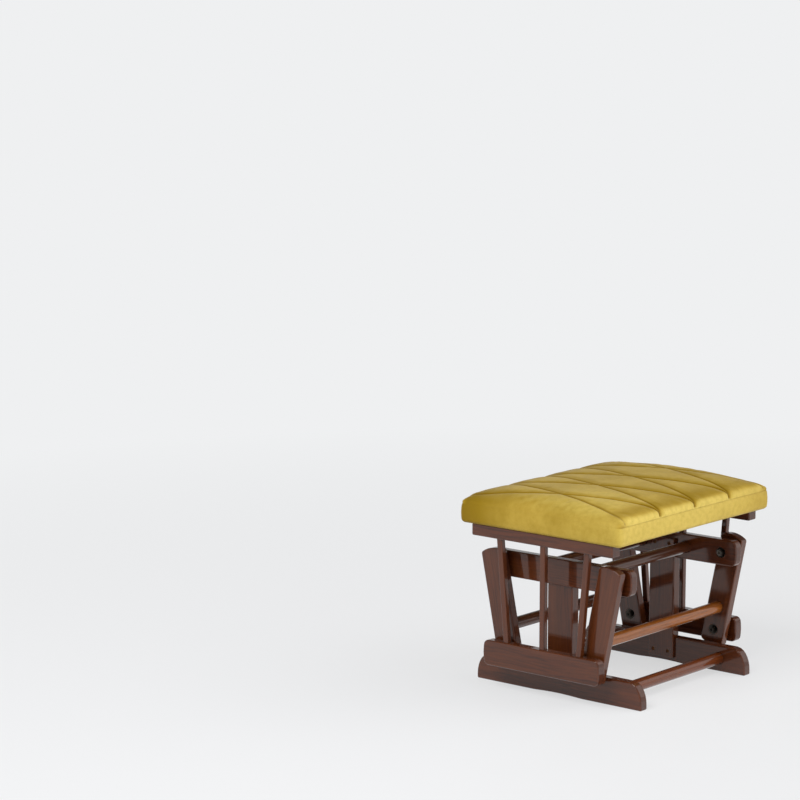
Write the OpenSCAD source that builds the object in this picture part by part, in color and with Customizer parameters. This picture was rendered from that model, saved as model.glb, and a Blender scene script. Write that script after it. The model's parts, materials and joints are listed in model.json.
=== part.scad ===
// Glider ottoman: a floor frame carries four swing links on ball bearings, and the
// links carry a slatted seat frame with a quilted cushion. X runs across the ottoman,
// Y along its glide (the front is -Y), Z up. The origin is on the floor, in the middle.

/* [Floor frame] */
// Length of a foot rail
foot_rail_l = 415; // [380:5:480]
// Height of a foot rail
foot_rail_h = 55; // [46:1:66]
// Thickness of a foot rail
foot_rail_t = 21; // [18:1:28]
// Length of the rounded toe of a foot rail
toe_l = 31; // [15:1:45]
// Height of the rounded toe of a foot rail
toe_h = 45; // [30:1:50]
// Length of the relief under the middle of a foot rail
relief_l = 130; // [60:5:200]
// Height of the relief under a foot rail
relief_h = 3; // [1:0.5:6]
// How far a crossbar runs past each upper pivot
bar_reach = 38; // [30:1:50]
// Height of a crossbar
crossbar_h = 54; // [44:1:64]
// Thickness of a crossbar
crossbar_t = 20; // [17:1:28]
// Width of a post
post_w = 62; // [52:1:72]
// Thickness of a post
post_t = 22; // [18:1:28]
// How far a post stands in from the crossbar's inner face
post_proud = 8; // [4:1:11]
// Depth of the housing that a post is let into
housing_d = 7; // [4:1:10]

/* [Dowels] */
// Diameter of the round stretchers
dowel_d = 25; // [20:1:30]
// Depth of the blind socket that a stretcher's end is glued into
socket_d = 12; // [8:1:14]
// Distance between the two top stretchers
top_dowel_spread = 112; // [104:2:150]
// Distance of a foot stretcher from the end of its rails
foot_dowel_in = 65.5; // [50:0.5:90]
// Distance of a link stretcher from its lower pivot, along the link
link_dowel_up = 50; // [40:1:80]

/* [Swing] */
// Distance between the front and rear upper pivots
top_pivot_spread = 286; // [270:2:300]
// Distance between the front and rear lower pivots
low_pivot_spread = 214; // [190:2:230]
// Height of the upper pivots above the floor
top_pivot_z = 252.5; // [240:0.5:270]
// Height of the lower pivots above the floor
low_pivot_z = 78.5; // [74:0.5:90]
// Width of a link
link_w = 53; // [46:1:60]
// Thickness of a link
link_t = 20; // [18:1:26]
// How far a link runs past each pivot
link_reach = 34.5; // [30:0.5:38]
// Radius of a link's end curve
link_end_r = 57; // [40:1:90]
// Radius of the corners of a link's ends
link_corner_r = 6; // [3:1:10]
// Air between the floor frame and a link
link_gap = 10; // [5:0.5:14]
// Air between a link and the seat frame's lower rail
seat_gap = 7; // [4:0.5:12]

/* [Seat frame] */
// How far a lower rail runs past each lower pivot
low_rail_reach = 38.5; // [30:0.5:50]
// Height of a lower rail
low_rail_h = 52; // [44:1:58]
// Thickness of a lower rail
low_rail_t = 22; // [18:1:28]
// Height of the lower pivots above the middle of a lower rail
pivot_rise = 2; // [0:0.5:6]
// How far the cushion runs past the end of a top rail
end_overhang = 24; // [10:1:40]
// How far the cushion runs past the side of a top rail
side_overhang = 8.5; // [4:0.5:16]
// Height of a top rail
top_rail_h = 25; // [22:1:32]
// Thickness of a top rail
top_rail_t = 26; // [20:1:32]
// Clear height of the spindles between the rails
spindle_l = 212; // [205:1:230]
// Side of a square spindle
spindle_s = 12.5; // [9:0.5:16]
// Depth of a spindle's mortise
mortise_d = 8; // [5:1:12]
// Distance of the outer spindles from the end of the top rail
spindle_top_in = 66.5; // [40:0.5:80]
// Distance of the outer spindles from the end of the lower rail
spindle_low_in = 54.5; // [40:0.5:70]
// Width of a cross slat under the cushion
slat_w = 60; // [40:1:80]
// Thickness of a cross slat
slat_t = 15; // [12:1:18]
// Distance of a cross slat from the end of the top rails
slat_in = 41; // [20:1:60]
// Depth of the housing that a cross slat sits in
slat_seat = 14; // [9:1:16]
// Rounding of the wooden edges
ease_r = 2.5; // [1:0.5:4]

/* [Cushion] */
// Width of the cushion
cushion_w = 521; // [500:1:560]
// Length of the cushion, front to back
cushion_l = 400; // [370:2:420]
// Height of the cushion's side band
band_h = 41; // [34:1:50]
// Height of the crown above the band's seam
crown_h = 32; // [24:1:42]
// Radius of the cushion's corners
cushion_r = 10; // [6:1:24]
// How far the sides are drawn in between the corners
draw_in = 2; // [0:0.5:6]
// How far the band swells out
band_swell = 2; // [0:0.5:5]
// Distance of the outermost stitched lines from the cushion's sides
stitch_margin = 18.5; // [14:0.5:30]
// Depth of a stitched channel
channel_d = 5; // [2:0.5:8]
// Half width of a stitched channel
channel_w = 7; // [4:0.5:10]
// Thickness of the plywood board in the cushion
board_t = 12; // [9:1:15]
// Distance of the board's edge from the cushion's edge
board_inset = 24; // [18:1:40]
// Distance of the foam core's edge from the cushion's edge
foam_inset = 26; // [18:1:40]

/* [Hardware] */
// Outer diameter of a ball bearing
bearing_od = 22; // [20:1:24]
// Bore of a ball bearing
bearing_id = 8; // [6:1:8]
// Width of a bearing's outer ring
bearing_w = 7; // [6:0.5:8]
// Balls in a bearing
ball_count = 7; // [6:1:8]
// Diameter of a ball
ball_d = 4; // [3.5:0.1:4.2]
// Outer diameter of the washer under a bolt's head
washer_od = 17; // [15:0.5:17.2]
// Thickness of that washer
washer_t = 1.5; // [1:0.1:2]
// Diameter of a pivot bolt's head
bolt_head_d = 14; // [12:0.5:16]
// Height of a pivot bolt's head
bolt_head_h = 4.5; // [3.5:0.5:6]
// Width across the flats of a bolt's hex socket
hex_key = 5; // [4:0.5:5]
// Outer diameter of a threaded insert
insert_od = 12; // [11:0.5:14]
// Length of a threaded insert
insert_l = 14; // [10:1:15]
// Diameter of a wood screw's shank
screw_d = 4; // [3:0.5:5]
// Diameter of a wood screw's head
screw_head_d = 8; // [7:0.5:9]
// Distance between the two screws at each end of a post
post_screw_spread = 37; // [30:1:42]

/* [Hidden] */

// Smoothness of round pieces and of the pieces in a hull
$fn = 48;
hull_fn = 32;
// Overrun of every cut
over = 1;
// Running clearance of a shaft in its ring, and of a glued or pressed fit
fit = 0.05;
// Deeper than what sits in it, so a tenon never stands on its mortise's floor
end_play = 0.3;

// Planes of the layers on the right side, counted from the middle
rail_out = cushion_w / 2 - side_overhang;
rail_in = rail_out - low_rail_t;
link_out = rail_in - seat_gap;
link_in = link_out - link_t;
base_out = link_in - link_gap;
foot_in = base_out - foot_rail_t;
bar_in = base_out - crossbar_t;
post_in = bar_in - post_proud;
lap_x = bar_in + housing_d;
top_rail_in = rail_out - top_rail_t;
spindle_x = (rail_in + rail_out) / 2;

// Lengths that follow the cushion and the pivots
crossbar_l = top_pivot_spread + 2 * bar_reach;
low_rail_l = low_pivot_spread + 2 * low_rail_reach;
top_rail_l = cushion_l - 2 * end_overhang;
foot_dowel_spread = foot_rail_l - 2 * foot_dowel_in;
spindle_top_spread = top_rail_l - 2 * spindle_top_in;
spindle_low_spread = low_rail_l - 2 * spindle_low_in;
slat_spread = top_rail_l - 2 * slat_in - slat_w;

// Heights of the rails
bar_z = top_pivot_z - crossbar_h / 2;
low_rail_z = low_pivot_z - pivot_rise - low_rail_h / 2;
top_rail_z = low_rail_z + low_rail_h + spindle_l;
seat_z = top_rail_z + top_rail_h;
slat_z = seat_z - slat_t;
seam_z = seat_z + band_h;

// The post stops short of the crossbar's top and of the floor
post_top_gap = 13.5;
post_foot_gap = 11;
post_z0 = post_foot_gap;
post_z1 = bar_z + crossbar_h - post_top_gap;
post_screw_edge = 13.5;
post_screw_top_edge = 10;
post_screw_l = 20;
post_head_sink = 1.5;

// Linkage
top_pivot_y = top_pivot_spread / 2;
low_pivot_y = low_pivot_spread / 2;
link_drop = top_pivot_z - low_pivot_z;
link_pitch = norm([top_pivot_y - low_pivot_y, link_drop]);
link_lean = atan2(top_pivot_y - low_pivot_y, link_drop);
link_dowel_y = low_pivot_y + link_dowel_up * sin(link_lean);
link_dowel_z = low_pivot_z + link_dowel_up * cos(link_lean);

// Rounded ends of the rails
bar_corner_r = 11;
rail_corner_r = 9;
end_bow = 3;
top_rail_corner_r = 3;
foot_corner_r = 3;
spindle_ease = 2;

// Ball bearing: the rings leave room for the balls, and on the open pivot for play
ball_ring_r = (bearing_od + bearing_id) / 4;
ring_land = 1.3;
inner_ring_r = ball_ring_r - ring_land;
outer_ring_r = ball_ring_r + ring_land;
groove_r = ball_d / 2 + fit;
inner_ring_proud = 0.5;
sleeve_r = inner_ring_r - 4 * fit;
bore_r = outer_ring_r - 4 * fit;
bolt_r = bearing_id / 2 - fit;
hex_depth = 2.6;

// Screws in the seat frame
screw_head_h = 2.5;
slat_screw_l = 22;
slat_screw_spread = 36;
slat_screw_x = top_rail_in + slat_seat / 2;
board_screw_l = 22;
board_screw_in = 76;
board_screw_x = top_rail_in - board_screw_in;

// Stitching: the lines of an X never quite meet, so that each keeps its own channel
stitch_count = 4;
stitch_pitch = (cushion_w - 2 * stitch_margin) / stitch_count;
stitch_gap = 1.5;
puff_h = 1.5;
corner_share = 0.8;
shoulder_share = 0.7;
slope_step = 0.5;
row_shares = [0.08, 0.25, 0.45, 0.64, 0.8, 0.9, 0.955, 0.985, 1];
edge_steps = [0, 4, 12];
fill_shares = [0.66, 0.33];
band_tuck = 4;
band_lift = 6;
swell_share = 0.55;
// The crown is a dome from front to rear, and flat with falling ends from left to right
dome_power = 2;
dome_fall = 0.3;
end_power = 12;
end_fall = 1.2;
// The foam core fills the band above the board and rises under part of the crown
foam_rise_share = 0.12;
foam_t = band_h - board_t + foam_rise_share * crown_h;

// Colours
wood = "#4a231a";
dowel_wood = "#6a3318";
velvet = "#b59f2f";
steel = "#b8babd";
screw_brown = "#5c4630";

// A piece for the right side, or its mirror image for the left
module on_side(side) {
    if (side > 0) children();
    else mirror([1, 0, 0]) children();
}

// Points of an arc round c, from angle a0 to a1
function arc(c, r, a0, a1, n) =
    [for (i = [0:n]) let (a = a0 + (a1 - a0) * i / n) c + r * [cos(a), sin(a)]];
function tail(v) = [for (i = [1:len(v) - 1]) v[i]];
function turned(v) = [for (p = v) -p];
function mirrored(v) = [for (i = [len(v) - 1:-1:0]) [-v[i][0], v[i][1]]];

// One end of a rail with bowed face and rounded corners, from the bottom up
end_shares = [-1, -0.98, -0.9, -0.75, -0.5, 0, 0.5, 0.75, 0.9, 0.98, 1];
function rail_end(l, h, r, bow) = [
    for (t = end_shares)
        let (past = max(0, abs(t) - (1 - 2 * r / h)) * h / 2)
        [l / 2 - bow * t * t - r + sqrt(r * r - past * past), h / 2 * (1 + t)]
];
function rail_outline(l, h, r, bow) =
    let (e = rail_end(l, h, r, bow)) concat(e, mirrored(e));

// A foot rail from the side: an elliptical toe at each end
toe_shares = [0, 0.2, 0.4, 0.58, 0.74, 0.87, 0.96, 1];
function foot_outline() =
    let (
        corner = arc([foot_rail_l / 2 - foot_corner_r, foot_corner_r], foot_corner_r, -90, 0, 3),
        toe = [
            for (s = toe_shares)
                [foot_rail_l / 2 - toe_l * (1 - sqrt(1 - s * s)), foot_rail_h - toe_h * (1 - s)]
        ],
        e = concat(corner, toe)
    ) concat(e, mirrored(e));

// A link from the side: straight edges, and a shallow curve at each end
function link_outline() =
    let (
        half = link_w / 2,
        mid = link_pitch / 2 + link_reach - link_end_r,
        cx = half - link_corner_r,
        cz = mid + sqrt(pow(link_end_r - link_corner_r, 2) - cx * cx),
        turn = atan2(cz - mid, cx),
        top = concat(
            arc([cx, cz], link_corner_r, 0, turn, 4),
            tail(arc([0, mid], link_end_r, turn, 180 - turn, 12)),
            tail(arc([-cx, cz], link_corner_r, 180 - turn, 180, 4))
        )
    ) concat(top, turned(top));

// A board from x0, t thick, with its outline in Y and Z and every edge rounded
module board(outline, x0, t, ease) {
    hull()
        for (a = [0:30:90])
            let (e = ease * (1 - sin(a)))
            translate([x0 + e, 0, 0])
                rotate([90, 0, 90])
                    linear_extrude(t - 2 * e)
                        offset(delta = -ease * (1 - cos(a)), $fn = hull_fn)
                            polygon(outline);
}

// A rounded rectangle about the origin, whose corners are true arcs
module soft_square(w, h, r) {
    square([w - 2 * r, h], center = true);
    square([w, h - 2 * r], center = true);
    for (x = [-1, 1], y = [-1, 1])
        translate([x * (w / 2 - r), y * (h / 2 - r)]) circle(r);
}

// A round bar, ring or hole along X, from x0
module bar(x0, l, r) {
    translate([x0, 0, 0]) rotate([0, 90, 0]) cylinder(h = l, r = r);
}

module tube(x0, l, r_out, r_in) {
    difference() {
        bar(x0, l, r_out);
        bar(x0 - over, l + 2 * over, r_in);
    }
}

module at(y, z) {
    translate([0, y, z]) children();
}

// Both sides of a pivot row at y and z
module pair_at(y, z) {
    for (side = [-1, 1])
        on_side(side) at(y, z) children();
}

// Seat of a bearing in a wooden face at x0, and the hole behind it
module bearing_seat(x0, t) {
    bar(x0 - over, bearing_w + over, bearing_od / 2);
    bar(x0, t + over, bore_r);
}

module outer_ring(x0) {
    translate([x0, 0, 0]) rotate([0, 90, 0]) rotate_extrude()
        difference() {
            translate([outer_ring_r, 0]) square([bearing_od / 2 - outer_ring_r, bearing_w]);
            translate([ball_ring_r, bearing_w / 2]) circle(groove_r);
        }
}

module inner_ring(x0) {
    translate([x0, 0, 0]) rotate([0, 90, 0]) rotate_extrude()
        difference() {
            translate([bearing_id / 2, -inner_ring_proud])
                square([inner_ring_r - bearing_id / 2, bearing_w + inner_ring_proud]);
            translate([ball_ring_r, bearing_w / 2]) circle(groove_r);
        }
}

module balls(x0) {
    for (i = [0:ball_count - 1])
        rotate([i * 360 / ball_count, 0, 0])
            translate([x0 + bearing_w / 2, 0, ball_ring_r]) sphere(ball_d / 2, $fn = hull_fn);
}

// Button-head bolt: its washer stands on the ring that is proud of the face at x0
module pivot_bolt(x0, reach) {
    head_x = x0 - inner_ring_proud - washer_t;
    dome_h = bolt_head_h / 3;
    difference() {
        union() {
            bar(head_x - fit, reach + washer_t + inner_ring_proud + fit, bolt_r);
            bar(head_x - bolt_head_h + dome_h, bolt_head_h - dome_h, bolt_head_d / 2);
            bar(head_x - bolt_head_h, bolt_head_h, bolt_head_d / 2 - dome_h);
        }
        translate([head_x - bolt_head_h - over, 0, 0]) rotate([0, 90, 0])
            cylinder(h = hex_depth + over, d = hex_key / cos(30), $fn = 6);
    }
}

module pivot_washer(x0) {
    tube(x0 - inner_ring_proud - washer_t, washer_t, washer_od / 2, bearing_id / 2 + fit);
}

// Sleeve from the ring's back to the next board
module pivot_sleeve(x0, l) {
    tube(x0 + bearing_w, l - bearing_w, sleeve_r, bearing_id / 2 + fit);
}

module pivot_insert(x0) {
    tube(x0, insert_l, insert_od / 2, bearing_id / 2);
}

module insert_hole(x0) {
    bar(x0 - over, insert_l + over + end_play, insert_od / 2 + fit);
}

// Countersunk wood screw along +Z, with its head's face at z = 0
module wood_screw(l) {
    tip_l = screw_d;
    recess_h = screw_head_h / 2;
    difference() {
        rotate_extrude()
            polygon([
                [0, 0], [screw_head_d / 2, 0], [screw_d / 2, screw_head_h],
                [screw_d / 2, l - tip_l], [0, l]
            ]);
        for (a = [0, 90])
            rotate(a) cube([screw_head_d / 2, screw_d / 5, 2 * recess_h], center = true);
    }
}

module screw_hole(l, sink) {
    translate([0, 0, -sink - over]) cylinder(h = sink + over, d = screw_head_d + 2 * fit);
    rotate_extrude()
        polygon([
            [0, 0], [screw_head_d / 2 + fit, 0], [screw_d / 2 + fit, screw_head_h],
            [screw_d / 2 + fit, l + end_play], [0, l + end_play]
        ]);
}

// The four screw places of a right-hand post; the children point along +X
module post_screw_places() {
    for (y = [-1, 1], z = [post_z0 + post_screw_edge, post_z1 - post_screw_top_edge])
        translate([post_in + post_head_sink, y * post_screw_spread / 2, z])
            rotate([0, 90, 0]) children();
}

module foot_rail(side) {
    relief_r = (relief_l * relief_l / 4 + relief_h * relief_h) / (2 * relief_h);
    color(wood) on_side(side) difference() {
        board(foot_outline(), foot_in, foot_rail_t, ease_r);
        translate([foot_in - over, 0, relief_h - relief_r]) rotate([0, 90, 0])
            cylinder(h = foot_rail_t + 2 * over, r = relief_r, $fn = 4 * $fn);
        translate([foot_in - over, -post_w / 2, post_z0])
            cube([lap_x - foot_in + over, post_w, foot_rail_h]);
        for (y = [-1, 1])
            at(y * foot_dowel_spread / 2, foot_rail_h / 2)
                bar(foot_in - over, socket_d + over, dowel_d / 2 + fit);
        post_screw_places() screw_hole(post_screw_l, post_head_sink);
    }
}

module crossbar(side) {
    color(wood) on_side(side) difference() {
        translate([0, 0, bar_z])
            board(rail_outline(crossbar_l, crossbar_h, bar_corner_r, end_bow), bar_in, crossbar_t, ease_r);
        for (y = [-1, 1]) {
            at(y * top_pivot_y, top_pivot_z) bearing_seat(bar_in, crossbar_t);
            at(y * top_dowel_spread / 2, top_pivot_z)
                bar(bar_in - over, socket_d + over, dowel_d / 2 + fit);
        }
        translate([bar_in - over, -post_w / 2, bar_z - over])
            cube([housing_d + over, post_w, post_z1 - bar_z + over]);
        post_screw_places() screw_hole(post_screw_l, post_head_sink);
    }
}

// A post is full thickness between the rails and rebated where it is let into them
module post(side) {
    color(wood) on_side(side) difference() {
        translate([post_in + post_t / 2, 0, post_z0])
            linear_extrude(post_z1 - post_z0) soft_square(post_t, post_w, spindle_ease);
        translate([lap_x, -post_w, 0]) cube([post_t, 2 * post_w, foot_rail_h]);
        translate([lap_x, -post_w, bar_z]) cube([post_t, 2 * post_w, crossbar_h]);
        post_screw_places() screw_hole(post_screw_l, post_head_sink);
    }
}

module post_screws(side) {
    color(screw_brown) on_side(side) post_screw_places() wood_screw(post_screw_l);
}

// Round stretcher between two faces at x = -face and x = face
module stretcher(face, y, z) {
    half = face + socket_d - fit;
    color(dowel_wood) at(y, z) bar(-half, 2 * half, dowel_d / 2);
}

module swing_link(front, side) {
    color(wood) on_side(side) difference() {
        at(front * (top_pivot_y + low_pivot_y) / 2, (top_pivot_z + low_pivot_z) / 2)
            rotate([-front * link_lean, 0, 0])
                board(link_outline(), link_in, link_t, ease_r);
        at(front * top_pivot_y, top_pivot_z) insert_hole(link_in);
        at(front * low_pivot_y, low_pivot_z) bearing_seat(link_in, link_t);
        at(front * link_dowel_y, link_dowel_z)
            bar(link_in - over, socket_d + over, dowel_d / 2 + fit);
    }
}

module upper_hardware(front, piece) {
    color(steel) pair_at(front * top_pivot_y, top_pivot_z) {
        if (piece == "bolt") pivot_bolt(bar_in, link_in - bar_in + insert_l);
        if (piece == "washer") pivot_washer(bar_in);
        if (piece == "inner ring") inner_ring(bar_in);
        if (piece == "sleeve") pivot_sleeve(bar_in, link_in - bar_in);
        if (piece == "insert") pivot_insert(link_in);
        if (piece == "outer ring") outer_ring(bar_in);
        if (piece == "balls") balls(bar_in);
    }
}

module lower_hardware(front, piece) {
    color(steel) pair_at(front * low_pivot_y, low_pivot_z) {
        if (piece == "bolt") pivot_bolt(link_in, rail_in - link_in + insert_l);
        if (piece == "washer") pivot_washer(link_in);
        if (piece == "inner ring") inner_ring(link_in);
        if (piece == "sleeve") pivot_sleeve(link_in, rail_in - link_in);
        if (piece == "insert") pivot_insert(rail_in);
        if (piece == "outer ring") outer_ring(link_in);
        if (piece == "balls") balls(link_in);
    }
}

module both_upper(piece) {
    for (front = [-1, 1]) upper_hardware(front, piece);
}

module both_lower(piece) {
    for (front = [-1, 1]) lower_hardware(front, piece);
}

// A spindle's axis runs from the lower rail to the top rail; k is -1, 0 or 1 along Y
module spindle_bar(k, grow) {
    y0 = k * spindle_low_spread / 2;
    y1 = k * spindle_top_spread / 2;
    lean = atan2(y1 - y0, spindle_l);
    run = norm([y1 - y0, spindle_l]);
    translate([spindle_x, y0, low_rail_z + low_rail_h]) rotate([-lean, 0, 0])
        translate([0, 0, -mortise_d - grow])
            linear_extrude(run + 2 * (mortise_d + grow))
                soft_square(spindle_s + grow, spindle_s + grow, spindle_ease);
}

module spindle(k, side) {
    color(wood) on_side(side) spindle_bar(k, 0);
}

module lower_rail(side) {
    color(wood) on_side(side) difference() {
        translate([0, 0, low_rail_z])
            board(rail_outline(low_rail_l, low_rail_h, rail_corner_r, end_bow), rail_in, low_rail_t, ease_r);
        for (front = [-1, 1])
            at(front * low_pivot_y, low_pivot_z) insert_hole(rail_in);
        for (k = [-1, 0, 1]) spindle_bar(k, 2 * fit);
    }
}

module top_rail(side) {
    color(wood) on_side(side) difference() {
        translate([0, 0, top_rail_z])
            board(rail_outline(top_rail_l, top_rail_h, top_rail_corner_r, 0), top_rail_in, top_rail_t, ease_r);
        for (k = [-1, 0, 1]) spindle_bar(k, 2 * fit);
        for (front = [-1, 1])
            translate([top_rail_in - over, front * slat_spread / 2 - slat_w / 2, slat_z])
                cube([slat_seat + over, slat_w, slat_t + over]);
        slat_screw_places() screw_hole(slat_screw_l, 0);
    }
}

// Screws down through the slats' ends on the right side; the children point down
module slat_screw_places() {
    for (front = [-1, 1], k = [-1, 1])
        translate([
            slat_screw_x, front * slat_spread / 2 + k * slat_screw_spread / 2, seat_z
        ]) mirror([0, 0, 1]) children();
}

module board_screw_places() {
    for (front = [-1, 1], side = [-1, 1])
        translate([side * board_screw_x, front * slat_spread / 2, slat_z]) children();
}

module cross_slat(front) {
    half = top_rail_in + slat_seat;
    color(wood) difference() {
        translate([-half, front * slat_spread / 2 - slat_w / 2, slat_z])
            cube([2 * half, slat_w, slat_t]);
        for (side = [-1, 1]) on_side(side) slat_screw_places() screw_hole(slat_screw_l, 0);
        board_screw_places() screw_hole(board_screw_l, 0);
    }
}

module slat_screws() {
    color(screw_brown)
        for (side = [-1, 1]) on_side(side) slat_screw_places() wood_screw(slat_screw_l);
}

module board_screws() {
    color(screw_brown) board_screw_places() wood_screw(board_screw_l);
}

// A rectangular block in the cushion, inset from its edges
module cushion_block(inset, z0, h, grow) {
    w = cushion_w - 2 * inset + 2 * grow;
    l = cushion_l - 2 * inset + 2 * grow;
    translate([-w / 2, -l / 2, z0]) cube([w, l, h]);
}

module cushion_board() {
    color("tan") difference() {
        cushion_block(board_inset, seat_z, board_t, 0);
        board_screw_places() screw_hole(board_screw_l, 0);
    }
}

module foam_core() {
    color("ivory") cushion_block(foam_inset, seat_z + board_t, foam_t, 0);
}

// The cushion's outline: half its width at a distance y from the middle
function half_width(y) =
    let (past = max(0, abs(y) - (cushion_l / 2 - cushion_r)))
    cushion_w / 2 - cushion_r + sqrt(cushion_r * cushion_r - past * past);

// Keeps the outer part of a row inside the rounded corner
function tucked(x, y) =
    let (knee = corner_share * cushion_w / 2)
    abs(x) <= knee ? x
    : sign(x) * (knee + (abs(x) - knee) * (half_width(y) - knee) / (cushion_w / 2 - knee));

// Sides pull in between the corners
function drawn(p) =
    let (sx = 2 * p[0] / cushion_w, sy = 2 * p[1] / cushion_l)
    [
        p[0] - sign(sx) * draw_in * (1 - min(1, sy * sy)) * pow(abs(sx), 8),
        p[1] - sign(sy) * draw_in * (1 - min(1, sx * sx)) * pow(abs(sy), 8),
        p[2]
    ];

function crown(x, y) =
    crown_h * pow(max(0, 1 - pow(abs(2 * x / cushion_w), end_power)), end_fall)
        * pow(max(0, 1 - pow(abs(2 * y / cushion_l), dome_power)), dome_fall);

// The crown's outward direction, from its slopes
function crown_normal(x, y) =
    let (
        fx = (crown(x + slope_step, y) - crown(x - slope_step, y)) / (2 * slope_step),
        fy = (crown(x, y + slope_step) - crown(x, y - slope_step)) / (2 * slope_step)
    )
    [-fx, -fy, 1] / norm([fx, fy, 1]);

// Columns of one row: the margins, and for each X its two lines with their shoulders.
// Each column is [x, lift]: lift is -1 on a line and rises to 1 between the lines
function lifted(run) = min(1, run / channel_w - 1);
function stitch_row(y) =
    let (
        half = stitch_pitch / 2,
        open = min(1, abs(2 * y / cushion_l)),
        hw = max(stitch_gap, half * open - stitch_gap),
        out = min(channel_w, shoulder_share * (half - hw)),
        inn = min(channel_w, shoulder_share * hw)
    )
    [
        for (i = [0:stitch_count - 1])
            let (c = (i - (stitch_count - 1) / 2) * stitch_pitch)
            each concat(
                i == 0 ? [] : [[c - half, lifted(half - hw)]],
                [
                    [c - hw - out, lifted(out)], [c - hw, -1], [c - hw + inn, lifted(inn)],
                    [c, lifted(hw)],
                    [c + hw - inn, lifted(inn)], [c + hw, -1], [c + hw + out, lifted(out)]
                ]
            )
    ];

// Columns outside the outermost X on one side, from the cushion's edge inwards
function margin_columns(side, y) =
    let (
        start = abs(stitch_row(y)[0][0]),
        edge = cushion_w / 2 - edge_steps[2],
        run = edge - start
    )
    concat(
        [for (e = edge_steps) [side * (cushion_w / 2 - e), 0]],
        [for (k = fill_shares) [side * (start + k * run), lifted(k * run + channel_w)]]
    );

function cushion_row(y) =
    let (
        right = margin_columns(1, y),
        cols = concat(
            margin_columns(-1, y), stitch_row(y),
            [for (i = [len(right) - 1:-1:0]) right[i]]
        ),
        rim = abs(y) > cushion_l / 2 - over,
        last = len(cols) - 1
    )
    [
        for (i = [0:last])
            let (
                x = tucked(cols[i][0], y),
                edge = rim || i == 0 || i == last,
                lift = cols[i][1],
                q = [x, y, crown(x, y)]
                    + (lift < 0 ? channel_d : puff_h) * lift * crown_normal(x, y)
            )
            edge ? drawn([x, y, seam_z])
            : drawn([q[0], q[1], seam_z + max(over, q[2])])
    ];

// Push a point of the rim out by d, square to the cushion's side
function pushed(p, d, z) =
    let (
        gx = sign(p[0]) * pow(abs(2 * p[0] / cushion_w), 15),
        gy = sign(p[1]) * pow(abs(2 * p[1] / cushion_l), 15),
        g = norm([gx, gy])
    )
    [p[0] + d * gx / g, p[1] + d * gy / g, z];

module cushion_body() {
    ys = concat(
        [for (i = [len(row_shares) - 1:-1:0]) -row_shares[i] * cushion_l / 2],
        [0],
        [for (s = row_shares) s * cushion_l / 2]
    );
    rows = [for (y = ys) cushion_row(y)];
    nr = len(rows);
    nc = len(rows[0]);
    top = [for (r = rows) each r];
    rim_ids = concat(
        [for (i = [0:nc - 1]) i],
        [for (j = [1:nr - 1]) j * nc + nc - 1],
        [for (i = [nc - 2:-1:0]) (nr - 1) * nc + i],
        [for (j = [nr - 2:-1:1]) j * nc]
    );
    n = len(rim_ids);
    swell_z = seat_z + swell_share * band_h;
    rings = [
        for (id = rim_ids) pushed(top[id], band_swell, swell_z),
        for (id = rim_ids) pushed(top[id], 0, seat_z + band_lift),
        for (id = rim_ids) pushed(top[id], -band_tuck, seat_z)
    ];
    base = nr * nc;
    points = concat(top, rings, [[0, 0, seat_z]]);
    ring_ids = [rim_ids, for (k = [0:2]) [for (i = [0:n - 1]) base + k * n + i]];
    faces = [
        for (j = [0:nr - 2], i = [0:nc - 2])
            let (a = j * nc + i, b = a + 1, c = a + nc, d = c + 1)
            each (i + j) % 2 == 0 ? [[a, c, b], [b, c, d]] : [[a, c, d], [a, d, b]],
        for (k = [0:2], i = [0:n - 1])
            let (
                a = ring_ids[k][i], b = ring_ids[k][(i + 1) % n],
                c = ring_ids[k + 1][i], d = ring_ids[k + 1][(i + 1) % n]
            )
            each [[a, b, c], [b, d, c]],
        for (i = [0:n - 1])
            [ring_ids[3][i], ring_ids[3][(i + 1) % n], base + 3 * n]
    ];
    polyhedron(points, faces);
}

// Quilted cover and its fibre wrap, hollow for the foam and the board
module cushion() {
    color(velvet) difference() {
        cushion_body();
        cushion_block(board_inset, seat_z - over, board_t + over + fit, fit);
        cushion_block(foam_inset, seat_z + board_t, foam_t + fit, fit);
    }
}

foot_rail(-1);  // foot_rail_left
foot_rail(1);  // foot_rail_right
crossbar(-1);  // crossbar_left
crossbar(1);  // crossbar_right
post(-1);  // post_left
post(1);  // post_right
stretcher(bar_in, -top_dowel_spread / 2, top_pivot_z);  // top_dowel_front
stretcher(bar_in, top_dowel_spread / 2, top_pivot_z);  // top_dowel_rear
stretcher(foot_in, -foot_dowel_spread / 2, foot_rail_h / 2);  // foot_dowel_front
stretcher(foot_in, foot_dowel_spread / 2, foot_rail_h / 2);  // foot_dowel_rear
post_screws(-1);  // post_screws_left
post_screws(1);  // post_screws_right
both_upper("outer ring");  // upper_bearing_outer_rings
both_upper("balls");  // upper_bearing_balls
swing_link(-1, -1);  // front_link_left
swing_link(-1, 1);  // front_link_right
stretcher(link_in, -link_dowel_y, link_dowel_z);  // front_link_dowel
upper_hardware(-1, "bolt");  // front_upper_bolts
upper_hardware(-1, "washer");  // front_upper_washers
upper_hardware(-1, "inner ring");  // front_upper_inner_rings
upper_hardware(-1, "sleeve");  // front_upper_sleeves
upper_hardware(-1, "insert");  // front_upper_inserts
lower_hardware(-1, "outer ring");  // front_lower_outer_rings
lower_hardware(-1, "balls");  // front_lower_balls
swing_link(1, -1);  // rear_link_left
swing_link(1, 1);  // rear_link_right
stretcher(link_in, link_dowel_y, link_dowel_z);  // rear_link_dowel
upper_hardware(1, "bolt");  // rear_upper_bolts
upper_hardware(1, "washer");  // rear_upper_washers
upper_hardware(1, "inner ring");  // rear_upper_inner_rings
upper_hardware(1, "sleeve");  // rear_upper_sleeves
upper_hardware(1, "insert");  // rear_upper_inserts
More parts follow.
